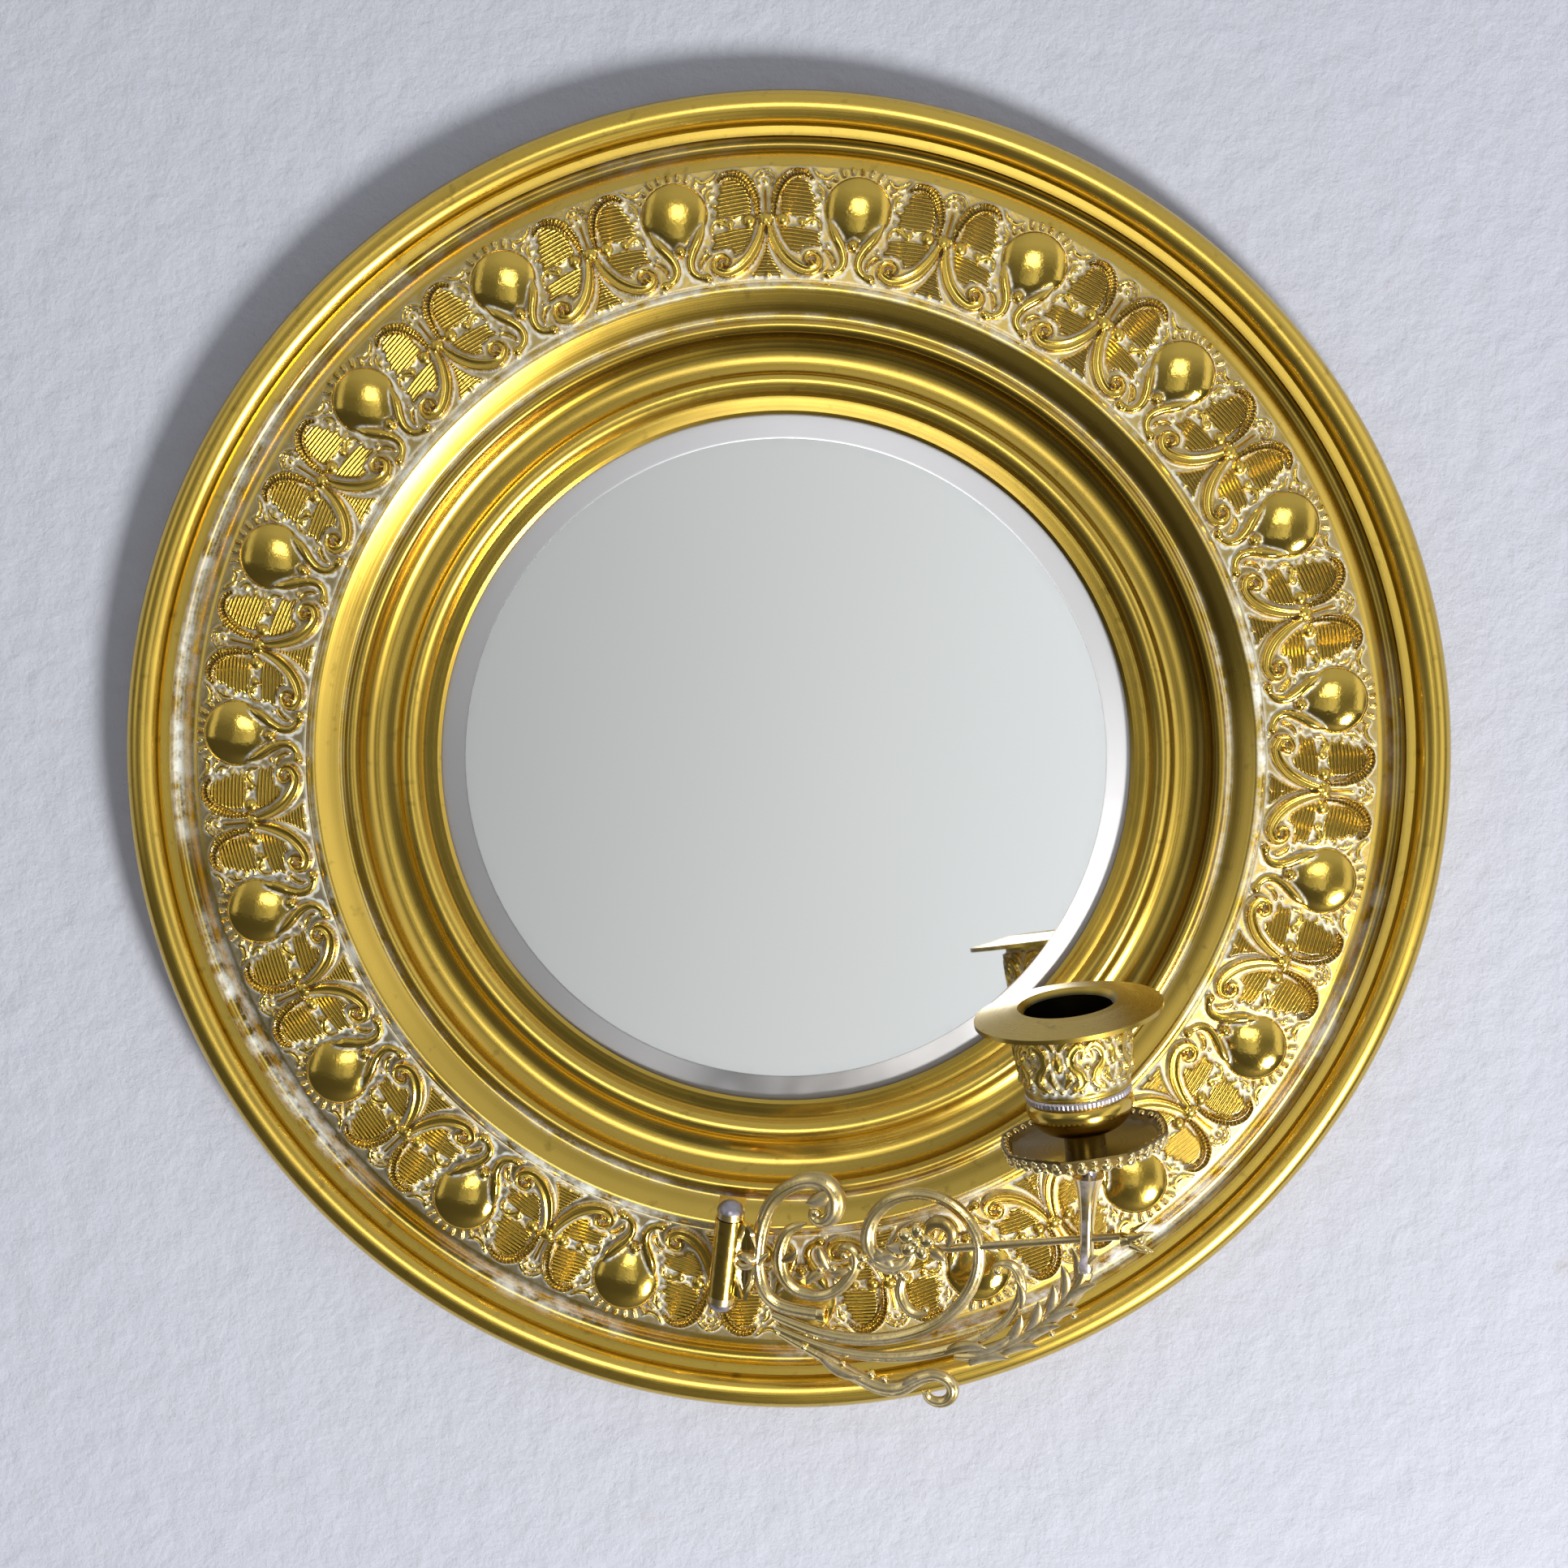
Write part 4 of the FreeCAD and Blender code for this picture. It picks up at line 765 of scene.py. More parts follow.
PLATE_BACK = (
    (175.4, 5.2), (176.47, 5.35), (176.98, 5.54), (177.89, 6.13), (178.27, 6.51), (178.86, 7.42),
    (179.16, 8.46), (179.2, 9), (179.05, 10.07), (178.6, 11.05), (177.89, 11.87), (176.98, 12.46),
    (176.47, 12.65), (175.4, 12.8), (174.32, 12.65), (173.81, 12.46), (172.9, 11.87), (172.19, 11.05),
    (171.81, 10.38), (171.43, 10.13), (171.1, 10.11), (170.78, 10.22), (169.85, 11.2), (168.27, 11.2),
    (168.06, 10.82), (167.49, 10.17), (166.75, 9.71), (166.35, 9.57), (165.92, 9.48),
    (165.06, 9.5), (164.24, 9.75), (163.52, 10.23), (162.97, 10.9), (160.81, 12.96), (160, 13.45),
    (128.63, 20.12), (128.33, 20.25), (127.91, 20.65), (127.42, 20.86), (127.06, 20.87), (126.56, 20.69),
    (121.48, 17.85), (120.94, 17.48), (120.32, 17.28), (119.67, 17.25), (119.04, 17.4), (118.47, 17.72),
    (117.92, 18.21), (117.59, 18.36), (117.06, 18.39), (116.71, 18.28), (116.19, 17.79), (116.07, 16.83),
    (115.81, 15.89), (115.42, 15), (114.9, 14.18), (114.28, 13.44), (113.55, 12.79), (112.74, 12.26),
    (111.86, 11.84), (110.93, 11.55), (109.97, 11.4), (108.8, 11.36), (107.64, 11.48), (106.5, 11.75),
    (105.4, 12.16), (104.37, 12.72), (103.68, 13.43), (103.39, 13.62), (102.76, 13.88), (102.08, 13.95),
    (101.4, 13.83), (100.79, 13.53), (100.28, 13.06), (99.02, 11.49), (98.65, 11.24), (98.32, 11.2),
    (97.46, 11.41), (94.69, 11.68), (93.91, 11.21))


def spun_plate():
    """The plate itself, spun finely enough for its mouldings to reflect without steps."""
    piece = turned(PLATE_FACE + PLATE_BACK, 288)
    piece.data.transform(Matrix.Rotation(math.pi / 2, 4, "X"))
    mark(piece, hollow=np.zeros(len(piece.data.vertices)))
    return piece


EGG_HEAD = 20.2     # middle of an egg's head, up the band, in millimetres
EGG_SUNK = -0.25    # how deep its edge goes into the band


def egg_tail(side):
    """Middle line of one of an egg's two tails, from its head down and out."""
    return [(side * x, y, z) for x, y, z in ((7.3, 17.6, 0.7), (6.3, 14.8, 0.8), (4.8, 12.2, 0.8),
                                             (3.1, 10.0, 0.6), (2.0, 7.6, 0.4), (1.8, 5.4, 0.3),
                                             (2.8, 3.4, 0.2), (4.8, 2.4, 0.2))]


# The right half of the palmette, drawn again mirrored, and then what stands on its middle line.
# Each stroke is a Relief method, its points and the rest of the method's values.
PALMETTE_HALF = (
    ("lobe", ((3.4, 18.6), (3.7, 23.0), (5.2, 26.6), (8.2, 28.5), (11.2, 28.2), (13.1, 25.9),
              (12.5, 24.9), (14.0, 23.4), (13.2, 22.2), (14.6, 20.6), (13.4, 19.4), (14.2, 17.8),
              (8.0, 16.9)), 0.85, 1.05, 0.10, 0.9),
    ("lobe", ((2.6, 15.0), (4.0, 11.0), (6.0, 8.0), (8.6, 7.0), (9.8, 8.9), (12.4, 9.4), (14.6, 9.0),
              (15.4, 10.4), (14.3, 11.6), (15.0, 13.0), (13.8, 14.2), (8.0, 15.4)), 0.90, 1.05, 0.12, 0.9),
    ("ribbon", ((2.0, 17.8), (2.4, 21.6), (3.4, 24.8), (5.2, 27.6), (7.9, 29.3), (10.9, 29.3),
                (12.6, 27.8)), (0.8, 1.15, 1.45, 1.55, 1.5, 1.2, 0.7), 1.6, 0.95),
    ("ribbon", ((1.0, 15.0), (1.6, 12.4), (2.8, 9.4), (4.8, 6.2), (7.8, 3.7), (11.0, 2.8), (13.6, 4.2),
                (13.8, 6.5), (11.9, 7.6), (10.3, 6.5), (10.7, 5.1)),
     (0.9, 1.25, 1.5, 1.65, 1.65, 1.45, 1.15, 0.95, 0.85, 0.75, 0.6), 2.2, 0.0, 0.25),
    ("beads", ((12.0, 5.3, 0.85),), 1.3),
    ("ribbon", ((9.9, 15.6), (12.4, 17.2), (14.3, 16.2), (14.4, 14.0)), (0.9, 0.7, 0.6, 0.4), 1.1),
    ("ribbon", ((15.0, 8.6), (16.4, 8.2), (17.5, 6.6), (17.7, 4.8)), (0.3, 0.7, 0.8, 0.3), 1.2),
    ("ribbon", ((13.0, 30.6), (14.8, 28.6), (17.0, 28.2), (18.8, 29.6)), (0.3, 0.8, 0.8, 0.3), 0.9),
    ("ribbon", ((14.4, 26.4), (15.6, 24.6), (15.4, 22.4)), (0.4, 0.8, 0.4), 0.8),
    ("beads", ((4.5, 16.6, 2.0), (9.6, 16.2, 1.3), (12.3, 16.4, 1.0), (16.2, 10.2, 0.7),
               (1.55, 3.3, 0.85), (3.4, 1.9, 0.85), (1.0, 6.2, 0.7), (14.9, 1.3, 0.75))))
PALMETTE_MIDDLE = (
    ("lobe", ((0.4, 12.4), (0.9, 8.6), (2.4, 5.0), (4.9, 1.2), (-4.9, 1.2), (-2.4, 5.0), (-0.9, 8.6),
              (-0.4, 12.4)), 0.8, 0.9, 0.0, 0.8),
    ("beads", ((0, 1.9, 1.0), (0, 5.0, 0.9), (0, 8.0, 0.7)), 1.1),
    ("ribbon", ((0, 18.2), (0, 21.5), (0, 25.0)), (0.5, 0.45, 0.4), 0.9))
SHELL_ARCS = ((3.1, 0.8), (1.9, 1.0))       # radius and height of the lines of the shell at the top
SHELL_FOOT = 27.2


def palmette_relief(palm, egg_u, egg_v):
    """One repeat of the band: the palmette between two eggs, and the fringe round each egg. Returns
    how near each point lies to an egg's outline."""
    palm.draw_halves(PALMETTE_HALF)
    palm.draw(PALMETTE_MIDDLE)
    for reach, top in SHELL_ARCS:
        arc = [(reach * math.sin(a), SHELL_FOOT + reach * math.cos(a)) for a in np.linspace(-2.0, 2.0, 9)]
        palm.ribbon(arc, [0.42] * len(arc), top)
    palm.beads(((0, 27.3, 0.9),), 0.9)
    palm.beads(((0, 16.7, 2.15),))
    head = np.hypot(egg_u, egg_v - EGG_HEAD)
    angle = np.arctan2(egg_u, egg_v - EGG_HEAD)
    ticks = np.clip(np.cos(angle * 26), 0, 1) ** 1.5 * smooth_step(2.0 - np.abs(angle), 0.0, 0.5)
    ring = smooth_step(head, 9.7, 10.2) * smooth_step(12.6 - head, 0.0, 0.7)
    fringe = np.where(palm.height < 0.3, 0.85 * ticks * ring, 0)
    palm.raise_to(fringe, np.where(fringe > 0.15, -0.2, FAR))
    gap = head - 9.0
    for side in (-1, 1):
        for u, v, _ in egg_tail(side):
            gap = np.minimum(gap, np.hypot(egg_u - u, egg_v - v) - 1.4)
    palm.height = np.where(gap < 0.5, palm.height * smooth_step(gap, -0.4, 0.5), palm.height)
    return smooth_step(0.95 - np.abs(gap), 0.0, 0.8)


def band_tile(sizes):
    """One repeat of the embossed band, from egg to egg, round the plate's axis with its palmette at
    the top."""
    piece, flat = grid(sizes.band_steps, sizes.band_rows)
    pitch = 2 * math.pi / sizes.egg_count
    turn = flat[:, 0] * pitch / 2
    up = (flat[:, 1] + 1) / 2 * BAND_LENGTH
    radius = BAND_IN[0] + up * math.cos(BAND_SLOPE)
    from_egg = turn - np.where(turn > 0, pitch / 2, -pitch / 2)
    relief = Relief(turn * radius, up)
    near_egg = palmette_relief(relief, from_egg * radius, up)
    border = smooth_step(up, 0.0, 0.7) * smooth_step(BAND_LENGTH - up, 0.0, 0.7)
    lift = -0.3 + (0.4 + relief.height) * border
    out = radius + lift * math.sin(BAND_SLOPE)
    high = BAND_IN[1] - up * math.sin(BAND_SLOPE) + lift * math.cos(BAND_SLOPE)
    move_points(piece, np.c_[out * np.sin(turn), -high, out * np.cos(turn)])
    chalk = 0.7 * np.exp(-(np.clip(relief.outside, 0, None) / 0.45) ** 2) * (relief.height < 0.40)
    chalk = np.maximum(chalk + 0.12 * (relief.height < 0.25), near_egg * 0.95)
    chalk = np.maximum(chalk, 0.55 * smooth_step(1.8 - up, 0.0, 1.2))
    mark(piece, chalk=np.clip(chalk, 0, 1) * border, stripe=relief.stripe, striped=relief.striped,
         hollow=np.clip(0.45 - relief.height * 0.8, 0, 1) * 0.7)
    return piece


def egg_boss(sizes):
    """One egg with its two tails and the drop between them, blended like pressed sheet."""
    r, h = sizes.egg_radius, sizes.egg_height
    head = ball((0, EGG_HEAD, -0.2), r, (1, 1, h / r), 48, 24)
    places = points_of(head)
    low = np.clip((EGG_HEAD - places[:, 1]) / r, 0, 1)
    places[:, 0] *= 1 - 0.20 * low ** 2
    places[:, 1] -= 1.2 * low ** 2
    places[:, 2] += 0.16 * (places[:, 1] - EGG_HEAD) * (places[:, 2] > 0)
    move_points(head, places)
    parts = [head]
    for side in (-1, 1):
        parts.append(swept(egg_tail(side), (0.4, 1.3, 1.45, 1.4, 1.25, 1.15, 1.05, 1.0), ROUND, 5))
        parts.append(ball((side * 5.6, 2.3, 0.5), 1.4, (1, 1, 0.95)))
    parts.append(ball((0, 10.6, 1.0), 1.6, (0.95, 1.1, 1.0)))
    piece = joined(parts)
    apply_modifier(piece, "REMESH", mode="VOXEL", voxel_size=0.34)
    apply_modifier(piece, "SMOOTH", factor=0.6, iterations=3)
    edit_all(lambda: bpy.ops.mesh.bisect(plane_co=(0, 0, EGG_SUNK), plane_no=(0, 0, 1), clear_inner=True,
                                         use_fill=True))
    return piece


CUP_HALF = (
    ("ribbon", ((3.1, 3.6), (5.4, 5.2), (5.2, 8.0), (3.5, 10.4), (3.6, 13.4), (5.6, 15.6), (7.0, 14.4),
                (6.4, 12.6)), (0.6, 1.2, 1.4, 1.1, 1.2, 1.3, 1.0, 0.7), 1.5, 0.0, 0.15),
    ("ribbon", ((0.9, 15.0), (2.2, 16.9), (3.9, 17.6)), (0.7, 1.0, 0.6), 1.2, 0.0, 0.1),
    ("ribbon", ((1.2, 4.6), (2.3, 6.6), (2.1, 8.6)), (0.5, 0.9, 0.5), 1.1, 0.0, 0.1),
    ("beads", ((2.9, 15.0, 0.8), (2.3, 2.9, 0.7), (5.1, 3.0, 0.8), (7.1, 9.6, 0.9), (7.2, 17.4, 0.9),
               (7.2, 6.0, 0.6))))
CUP_MIDDLE = (
    ("lobe", ((0, 15.4), (1.5, 13.0), (2.0, 10.8), (1.4, 8.6), (0, 7.6), (-1.4, 8.6), (-2.0, 10.8),
              (-1.5, 13.0)), 1.3, 0.0, 0.0, 1.5),
    ("beads", ((0.55, 10.6, 0.8), (-0.55, 10.6, 0.8)), 1.7),
    ("beads", ((0, 3.4, 0.9), (0, 18.0, 0.7))))
# The two lines round the cup's foot: height up the cup and relief.
CUP_LINES = ((0.55, 0.50), (1.55, 0.35))


def cup_relief(sizes):
    """Pressed relief round the candle cup: bosses with twin lobes between upright scrolls."""
    repeats = sizes.cup_repeats
    piece, flat = grid(repeats * 40, 56)
    turn = (flat[:, 0] + 1) * math.pi
    tall = CUP_MOUTH[1] - CUP_FOOT[1]
    up = (flat[:, 1] + 1) / 2 * tall
    base = CUP_FOOT[0] + (CUP_MOUTH[0] - CUP_FOOT[0]) * up / tall
    pitch = 2 * math.pi / repeats
    across = (turn % pitch - pitch / 2) * base
    relief = Relief(across, up)
    relief.draw_halves(CUP_HALF)
    relief.draw(CUP_MIDDLE)
    for level, rise in CUP_LINES:
        relief.raise_to(rise * np.exp(-((up - level) / 0.25) ** 2), FAR + 0 * up)
    border = smooth_step(up, 0.0, 0.25) * smooth_step(tall - up, 0.0, 0.8)
    out = base - 0.2 + (relief.height + 0.25) * border
    height = CUP_FOOT[1] + up
    move_points(piece, np.c_[out * np.cos(turn), out * np.sin(turn), height])
    chalk = np.exp(-(np.clip(relief.outside, 0, None) / 0.6) ** 2) * (relief.height < 0.4)
    mark(piece, chalk=np.clip(chalk, 0, 1) * 0.65, stripe=relief.stripe, striped=relief.striped,
         hollow=np.clip(0.45 - relief.height * 0.6, 0, 1))
    only(piece)
    edit_all(lambda: bpy.ops.mesh.remove_doubles(threshold=0.001),
             lambda: bpy.ops.mesh.normals_make_consistent(inside=False))
    return piece


# ---------------------------------------------------------------------------------------
# The arm: flat drawings in its plane, u along it and v up the pin, in millimetres

SCROLLS = {
    "upper_scroll": (((22.4, 19.6), (22.3, 17.6), (24.4, 16.0), (27.4, 17.4), (29.0, 20.6), (28.6, 24.8),
                      (26.0, 27.8), (21.5, 28.0), (16.8, 25.5), (11.9, 20.8), (9.4, 13.7), (8.7, 5.5),
                      (9.4, -3.1), (12.7, -9.1), (19.1, -11.3), (28.7, -9.9)),
                     (0.6, 1.0, 1.5, 2.1, 2.7, 2.9, 2.7, 2.3, 2.0, 2.0, 2.0, 2.0, 2.0, 2.0, 1.9, 1.9)),
    "inner_scroll": (((21.4, 15.0), (18.4, 13.6), (15.9, 10.6), (15.0, 6.0), (15.2, 1.6), (17.1, -2.6),
                      (21.0, -5.3), (27.2, -5.2), (32.2, -2.1), (35.6, 3.2), (36.7, 7.8), (35.0, 11.1),
                      (31.9, 10.9), (31.4, 8.8)),
                     (0.4, 1.2, 1.8, 2.1, 2.1, 1.9, 1.7, 1.6, 1.6, 1.6, 1.7, 1.6, 1.2, 0.6)),
    "great_scroll": (((15.1, -13.6), (23.3, -15.2), (33.8, -15.5), (44.3, -13.7), (55.0, -8.9),
                      (62.9, -2.4), (68.0, 5.6), (70.0, 13.6), (69.3, 21.3), (65.4, 27.6), (58.9, 31.3),
                      (51.1, 31.4), (43.6, 27.8), (39.2, 21.3), (38.5, 14.7), (41.0, 9.8), (46.0, 8.1),
                      (50.9, 10.4), (51.6, 14.0)),
                     (1.3, 1.6, 1.7, 1.7, 1.7, 1.7, 1.7, 1.7, 1.7, 1.7, 1.7, 1.7, 1.8, 1.9, 2.1, 2.3, 2.4,
                      1.8, 1.2)),
    "lower_scroll": (((16.2, -17.1), (23.8, -18.6), (33.2, -19.5), (43.9, -18.7), (55.8, -15.4),
                      (66.6, -10.0), (75.2, -3.6), (80.9, 3.6), (82.7, 10.9), (80.5, 16.7), (76.6, 17.7),
                      (74.1, 15.4)),
                     (0.9, 1.2, 1.4, 1.5, 1.6, 1.6, 1.5, 1.4, 1.4, 1.4, 1.3, 0.8)),
    "small_curl": (((49.9, 7.4), (49.0, 3.4), (50.0, 0.0), (52.6, -2.9), (55.4, -3.3), (57.4, -2.0)),
                   (1.0, 1.4, 1.6, 1.5, 1.2, 0.7)),
    "tail_scroll": (((17.6, -18.6), (26.2, -21.2), (33.3, -23.0), (40.3, -25.4), (47.2, -27.0),
                     (52.9, -26.0), (56.8, -22.0), (61.5, -19.0), (65.9, -19.6), (67.6, -22.6),
                     (66.4, -25.8), (63.3, -27.2), (60.4, -26.4), (59.8, -24.6)),
                    (0.9, 1.4, 1.7, 1.9, 2.2, 2.2, 2.0, 1.8, 1.7, 1.7, 1.6, 1.5, 1.3, 1.0)),
}
BRANCH = (((66.4, -12.4), (70.4, -11.8), (75.2, -9.4), (80.4, -5.6), (85.8, -0.8), (90.8, 4.6),
           (94.8, 10.8), (97.4, 16.0), (98.6, 20.6), (98.2, 24.0)),
          (0.9, 1.5, 2.0, 2.2, 2.2, 2.2, 2.2, 2.3, 2.5, 2.4))
# Balls brazed on a scroll: place and radius.
BALLS = {
    "upper_scroll": ((23.8, 18.9, 1.5),),
    "inner_scroll": ((33.2, 8.8, 1.2), (30.6, 4.4, 1.2), (26.8, 3.2, 1.1), (35.0, 5.6, 0.9),
                     (28.6, 6.0, 0.8)),
    "great_scroll": ((38.2, 9.4, 1.5), (37.9, 6.9, 1.1), (49.2, 7.6, 1.3)),
    "lower_scroll": ((75.2, 14.9, 1.3),),
    "small_curl": ((57.2, -0.8, 1.0), (50.2, 6.6, 1.2)),
    "tail_scroll": ((44.4, -23.4, 1.3), (48.2, -23.9, 1.1), (24.8, -20.4, 1.1), (36.2, -22.4, 1.0)),
}
# Leaves: root, tip, width and how far the tip curls forwards.
LEAVES = {
    "upper_scroll": (((27.5, 26.5), (21.0, 21.6), 4.6, 0.8), ((12.0, 4.0), (8.6, -4.0), 2.2, 0.4)),
    "inner_scroll": (((29.0, 4.0), (26.2, 10.0), 3.4, 1.2), ((28.5, 2.6), (23.8, -1.6), 3.0, 1.0),
                     ((34.6, 5.0), (29.4, 3.6), 2.6, 0.6), ((16.0, 3.0), (20.2, 7.6), 2.8, 1.0)),
    "great_scroll": (((40.4, 8.6), (48.0, 12.4), 4.0, 1.0), ((47.0, 7.2), (41.6, 13.4), 3.2, 0.8)),
    "lower_scroll": (((64.0, -12.0), (75.6, -7.4), 3.4, 0.8), ((82.8, 6.0), (80.8, 14.0), 2.4, 0.6)),
    "tail_scroll": (((30.0, -22.0), (42.4, -24.6), 3.6, 0.6), ((53.6, -25.4), (58.0, -20.6), 2.6, 0.4)),
}
BRANCH_LEAVES = (
    ((71.0, -13.4), (82.0, -8.6), 3.0, 0.8), ((70.0, -9.8), (81.6, -1.6), 3.2, 0.8),
    ((78.6, -9.0), (89.4, -3.0), 3.2, 1.0), ((79.4, -5.2), (83.4, 4.8), 3.4, 1.2),
    ((84.4, -4.2), (94.2, 4.4), 3.4, 1.2), ((84.8, 0.0), (87.6, 9.8), 3.6, 1.2),
    ((89.6, 2.4), (98.4, 10.4), 3.4, 1.2), ((89.4, 5.8), (90.8, 15.6), 3.4, 1.2),
    ((94.4, 9.8), (102.0, 18.4), 3.4, 1.2), ((93.4, 11.2), (92.4, 21.6), 3.4, 1.2),
    ((97.6, 15.6), (101.6, 26.6), 3.2, 0.8), ((96.6, 17.0), (94.4, 27.0), 3.0, 0.8))
BRANCH_BALLS = ((82.2, 0.4, 1.0), (86.6, 6.2, 1.0), (90.4, 11.4, 0.9), (92.0, 1.0, 0.9), (97.2, 7.6, 0.9))
ROSETTE = (52.5, 18.1)
CROSS_END = Vector((107.0, 31.6))
CROSS_WAY = (CROSS_END - Vector((54.0, 15.3))).normalized()


def dressed_rod(route, widths, balls, leaves):
    """A ridged rod with the balls and leaves that are cast on it."""
    parts = [swept(route, widths)]
    for u, v, radius in balls:
        parts.append(ball((u, v, 0.7), radius, (1, 1, 0.9)))
    for root, tip, width, curl in leaves:
        parts.append(tongue(root, tip, width, (0.12, -0.12)[len(parts) % 2], curl))
    return joined(parts)


def rosette():
    """Flower of five domed petals, with a large curled leaf beside it."""
    u, v = ROSETTE
    parts = [ball((u, v, 2.2), 1.5, (1, 1, 1), 20, 12)]
    for i in range(5):
        angle = (i + 0.25) * 2 * math.pi / 5
        petal = ball((3.0, 0, 0), 2.6, (1.0, 0.82, 0.7), 24, 12)
        parts.append(placed(petal, (u, v, 0.9), (angle, "Z"), (math.radians(-14), "Y")))
    parts.append(swept(((54.0, 17.0, 0.8), (54.6, 21.6, 1.2), (57.0, 25.0, 1.6), (60.6, 25.0, 1.8),
                        (62.4, 21.8, 1.8), (61.0, 18.8, 1.6)), (0.8, 1.5, 2.1, 2.2, 1.7, 0.7), LENTIL))
    for root, tip in (((51.0, 16.0), (45.0, 15.0)), ((55.0, 16.2), (61.0, 14.8))):
        parts.append(tongue(root, tip, 4.2, 0.1, 1.0))
    return joined(parts)


def crown():
    """Crown tip of the cross rod: a cap with five pointed lobes that open outwards."""
    parts = [turned(((0.0, 0.0), (1.7, 0.0), (1.3, 1.4), (2.0, 2.8), (1.7, 3.4), (0.0, 2.6)), 24)]
    for i in range(5):
        only()
        bpy.ops.mesh.primitive_cone_add(vertices=12, radius1=1.15, radius2=0.2, depth=4.0)
        lobe = added()
        lobe.data.transform(Matrix.Rotation(i * 2 * math.pi / 5, 4, "Z")
                            @ Matrix.Translation((1.45, 0, 2.6))
                            @ Matrix.Rotation(math.radians(32), 4, "Y")
                            @ Matrix.Translation((0, 0, 1.7)))
        parts.append(lobe)
    parts.append(ball((0, 0, 3.6), 1.5))
    return placed(joined(parts), (*CROSS_END, 0), (math.atan2(CROSS_WAY.y, CROSS_WAY.x), "Z"),
                  (math.pi / 2, "Y"), size=1.3)


def knuckle_leaf():
    """Wavy leaf strip on the barrel's plate, with a knot in its middle."""
    parts = [placed(grid_leaf(21.0, 5.4, 0.2, 4), (5.4, 10.8, 0.9), (math.atan2(-21.2, 1.2), "Z")),
             swept(((4.4, 1.6, 1.6), (6.0, 2.6, 2.0), (7.8, 1.2, 1.8), (9.0, 2.2, 1.2)),
                   (1.0, 1.5, 1.3, 0.8), ROUND),
             swept(((4.6, -0.4, 1.6), (6.2, -1.4, 2.0), (8.4, 0.4, 1.6)), (0.9, 1.3, 0.9), ROUND)]
    return joined(parts)


def scroll_mouth():
    """Open end of the upper scroll's tube."""
    piece = turned(((1.25, 0.0), (2.15, 0.0), (2.35, 1.4), (2.15, 2.2), (1.35, 2.2), (1.2, 0.6)), 32)
    return placed(piece, (27.6, -10.1, 0), (math.radians(8), "Z"), (math.pi / 2, "Y"))


# ---------------------------------------------------------------------------------------
# The drip pan and the ring under the cup, about the candle's axis

def lobed(places, lobes, start, depth):
    """Draws the outline of a turned piece in between its lobes."""
    radius = np.hypot(places[:, 0], places[:, 1])
    angle = np.arctan2(places[:, 1], places[:, 0])
    pull = 1 - depth * np.abs(np.sin(angle * lobes / 2)) ** 0.7 * smooth_step(radius, start, start + 3)
    return np.c_[places[:, 0] * pull, places[:, 1] * pull, places[:, 2]]


def stem_trumpet():
    """Waisted stem that flares under the pan."""
    foot, head = (Vector((u, 0, v)) for u, v in (STEM_FOOT, STEM_HEAD))
    up = head - foot
    piece = turned(((0.0, 0.0), (2.4, 0.0), (2.7, 1.5), (2.1, 4.0), (1.85, 9.0), (1.95, 14.0), (2.4, 19.0),
                    (3.1, 23.0), (3.9, 25.6), (4.3, 26.8), (0.0, 26.8)), 48)
    piece.data.transform(Matrix.Translation(foot) @ up.to_track_quat("Z", "Y").to_matrix().to_4x4())
    return piece


def drip_pan(sizes):
    piece = turned(((2.1, 5.8), (16.0, 5.8), (19.8, 6.7), (21.6, 8.6), (22.0, 9.1), (22.5, 9.1),
                    (22.6, 8.5), (22.0, 7.2), (21.4, 5.6), (20.8, 5.3), (19.6, 5.6), (16.5, 4.7),
                    (6.0, 4.6), (5.4, 0.3), (2.1, 0.3)), 128)
    move_points(piece, lobed(points_of(piece), sizes.pan_lobes, 16.0, 0.045))
    return piece


def pan_border(sizes):
    """Beads and hanging leaves round the edge of the pan."""
    parts = []
    count = sizes.pan_lobes * 5
    for i in range(count):
        angle = 2 * math.pi * (i + 0.5) / count
        pull = 1 - 0.045 * abs(math.sin(angle * sizes.pan_lobes / 2)) ** 0.7
        x, y = math.cos(angle) * pull, math.sin(angle) * pull
        parts.append(ball((x * 21.7, y * 21.7, 8.0), 1.15, (1, 1, 0.9), 12, 8))
        if i % 2:
            leaf = ball((0, 0, 0), 1.7, (0.55, 0.95, 0.9), 12, 8)
            parts.append(placed(leaf, (x * 21.5, y * 21.5, 6.4), (angle, "Z")))
        else:
            parts.append(ball((x * 21.2, y * 21.2, 6.0), 1.2, (1, 1, 0.9), 12, 8))
    return joined(parts)


def ticked_ring():
    """Bright ring under the cup, cut with fine ticks."""
    piece = turned(((12.2, 19.72), (13.6, 19.72), (13.95, 20.2), (13.95, 21.2), (13.6, 21.68),
                    (12.2, 21.68)), 288)
    places = points_of(piece)
    angle = np.arctan2(places[:, 1], places[:, 0])
    radius = np.hypot(places[:, 0], places[:, 1])
    pull = 1 - 0.012 * (np.cos(angle * 72) > 0.2) * (radius > 13)
    move_points(piece, np.c_[places[:, 0] * pull, places[:, 1] * pull, places[:, 2]])
    return piece


# ---------------------------------------------------------------------------------------
# Finishes used by the operators

FINISH = {}
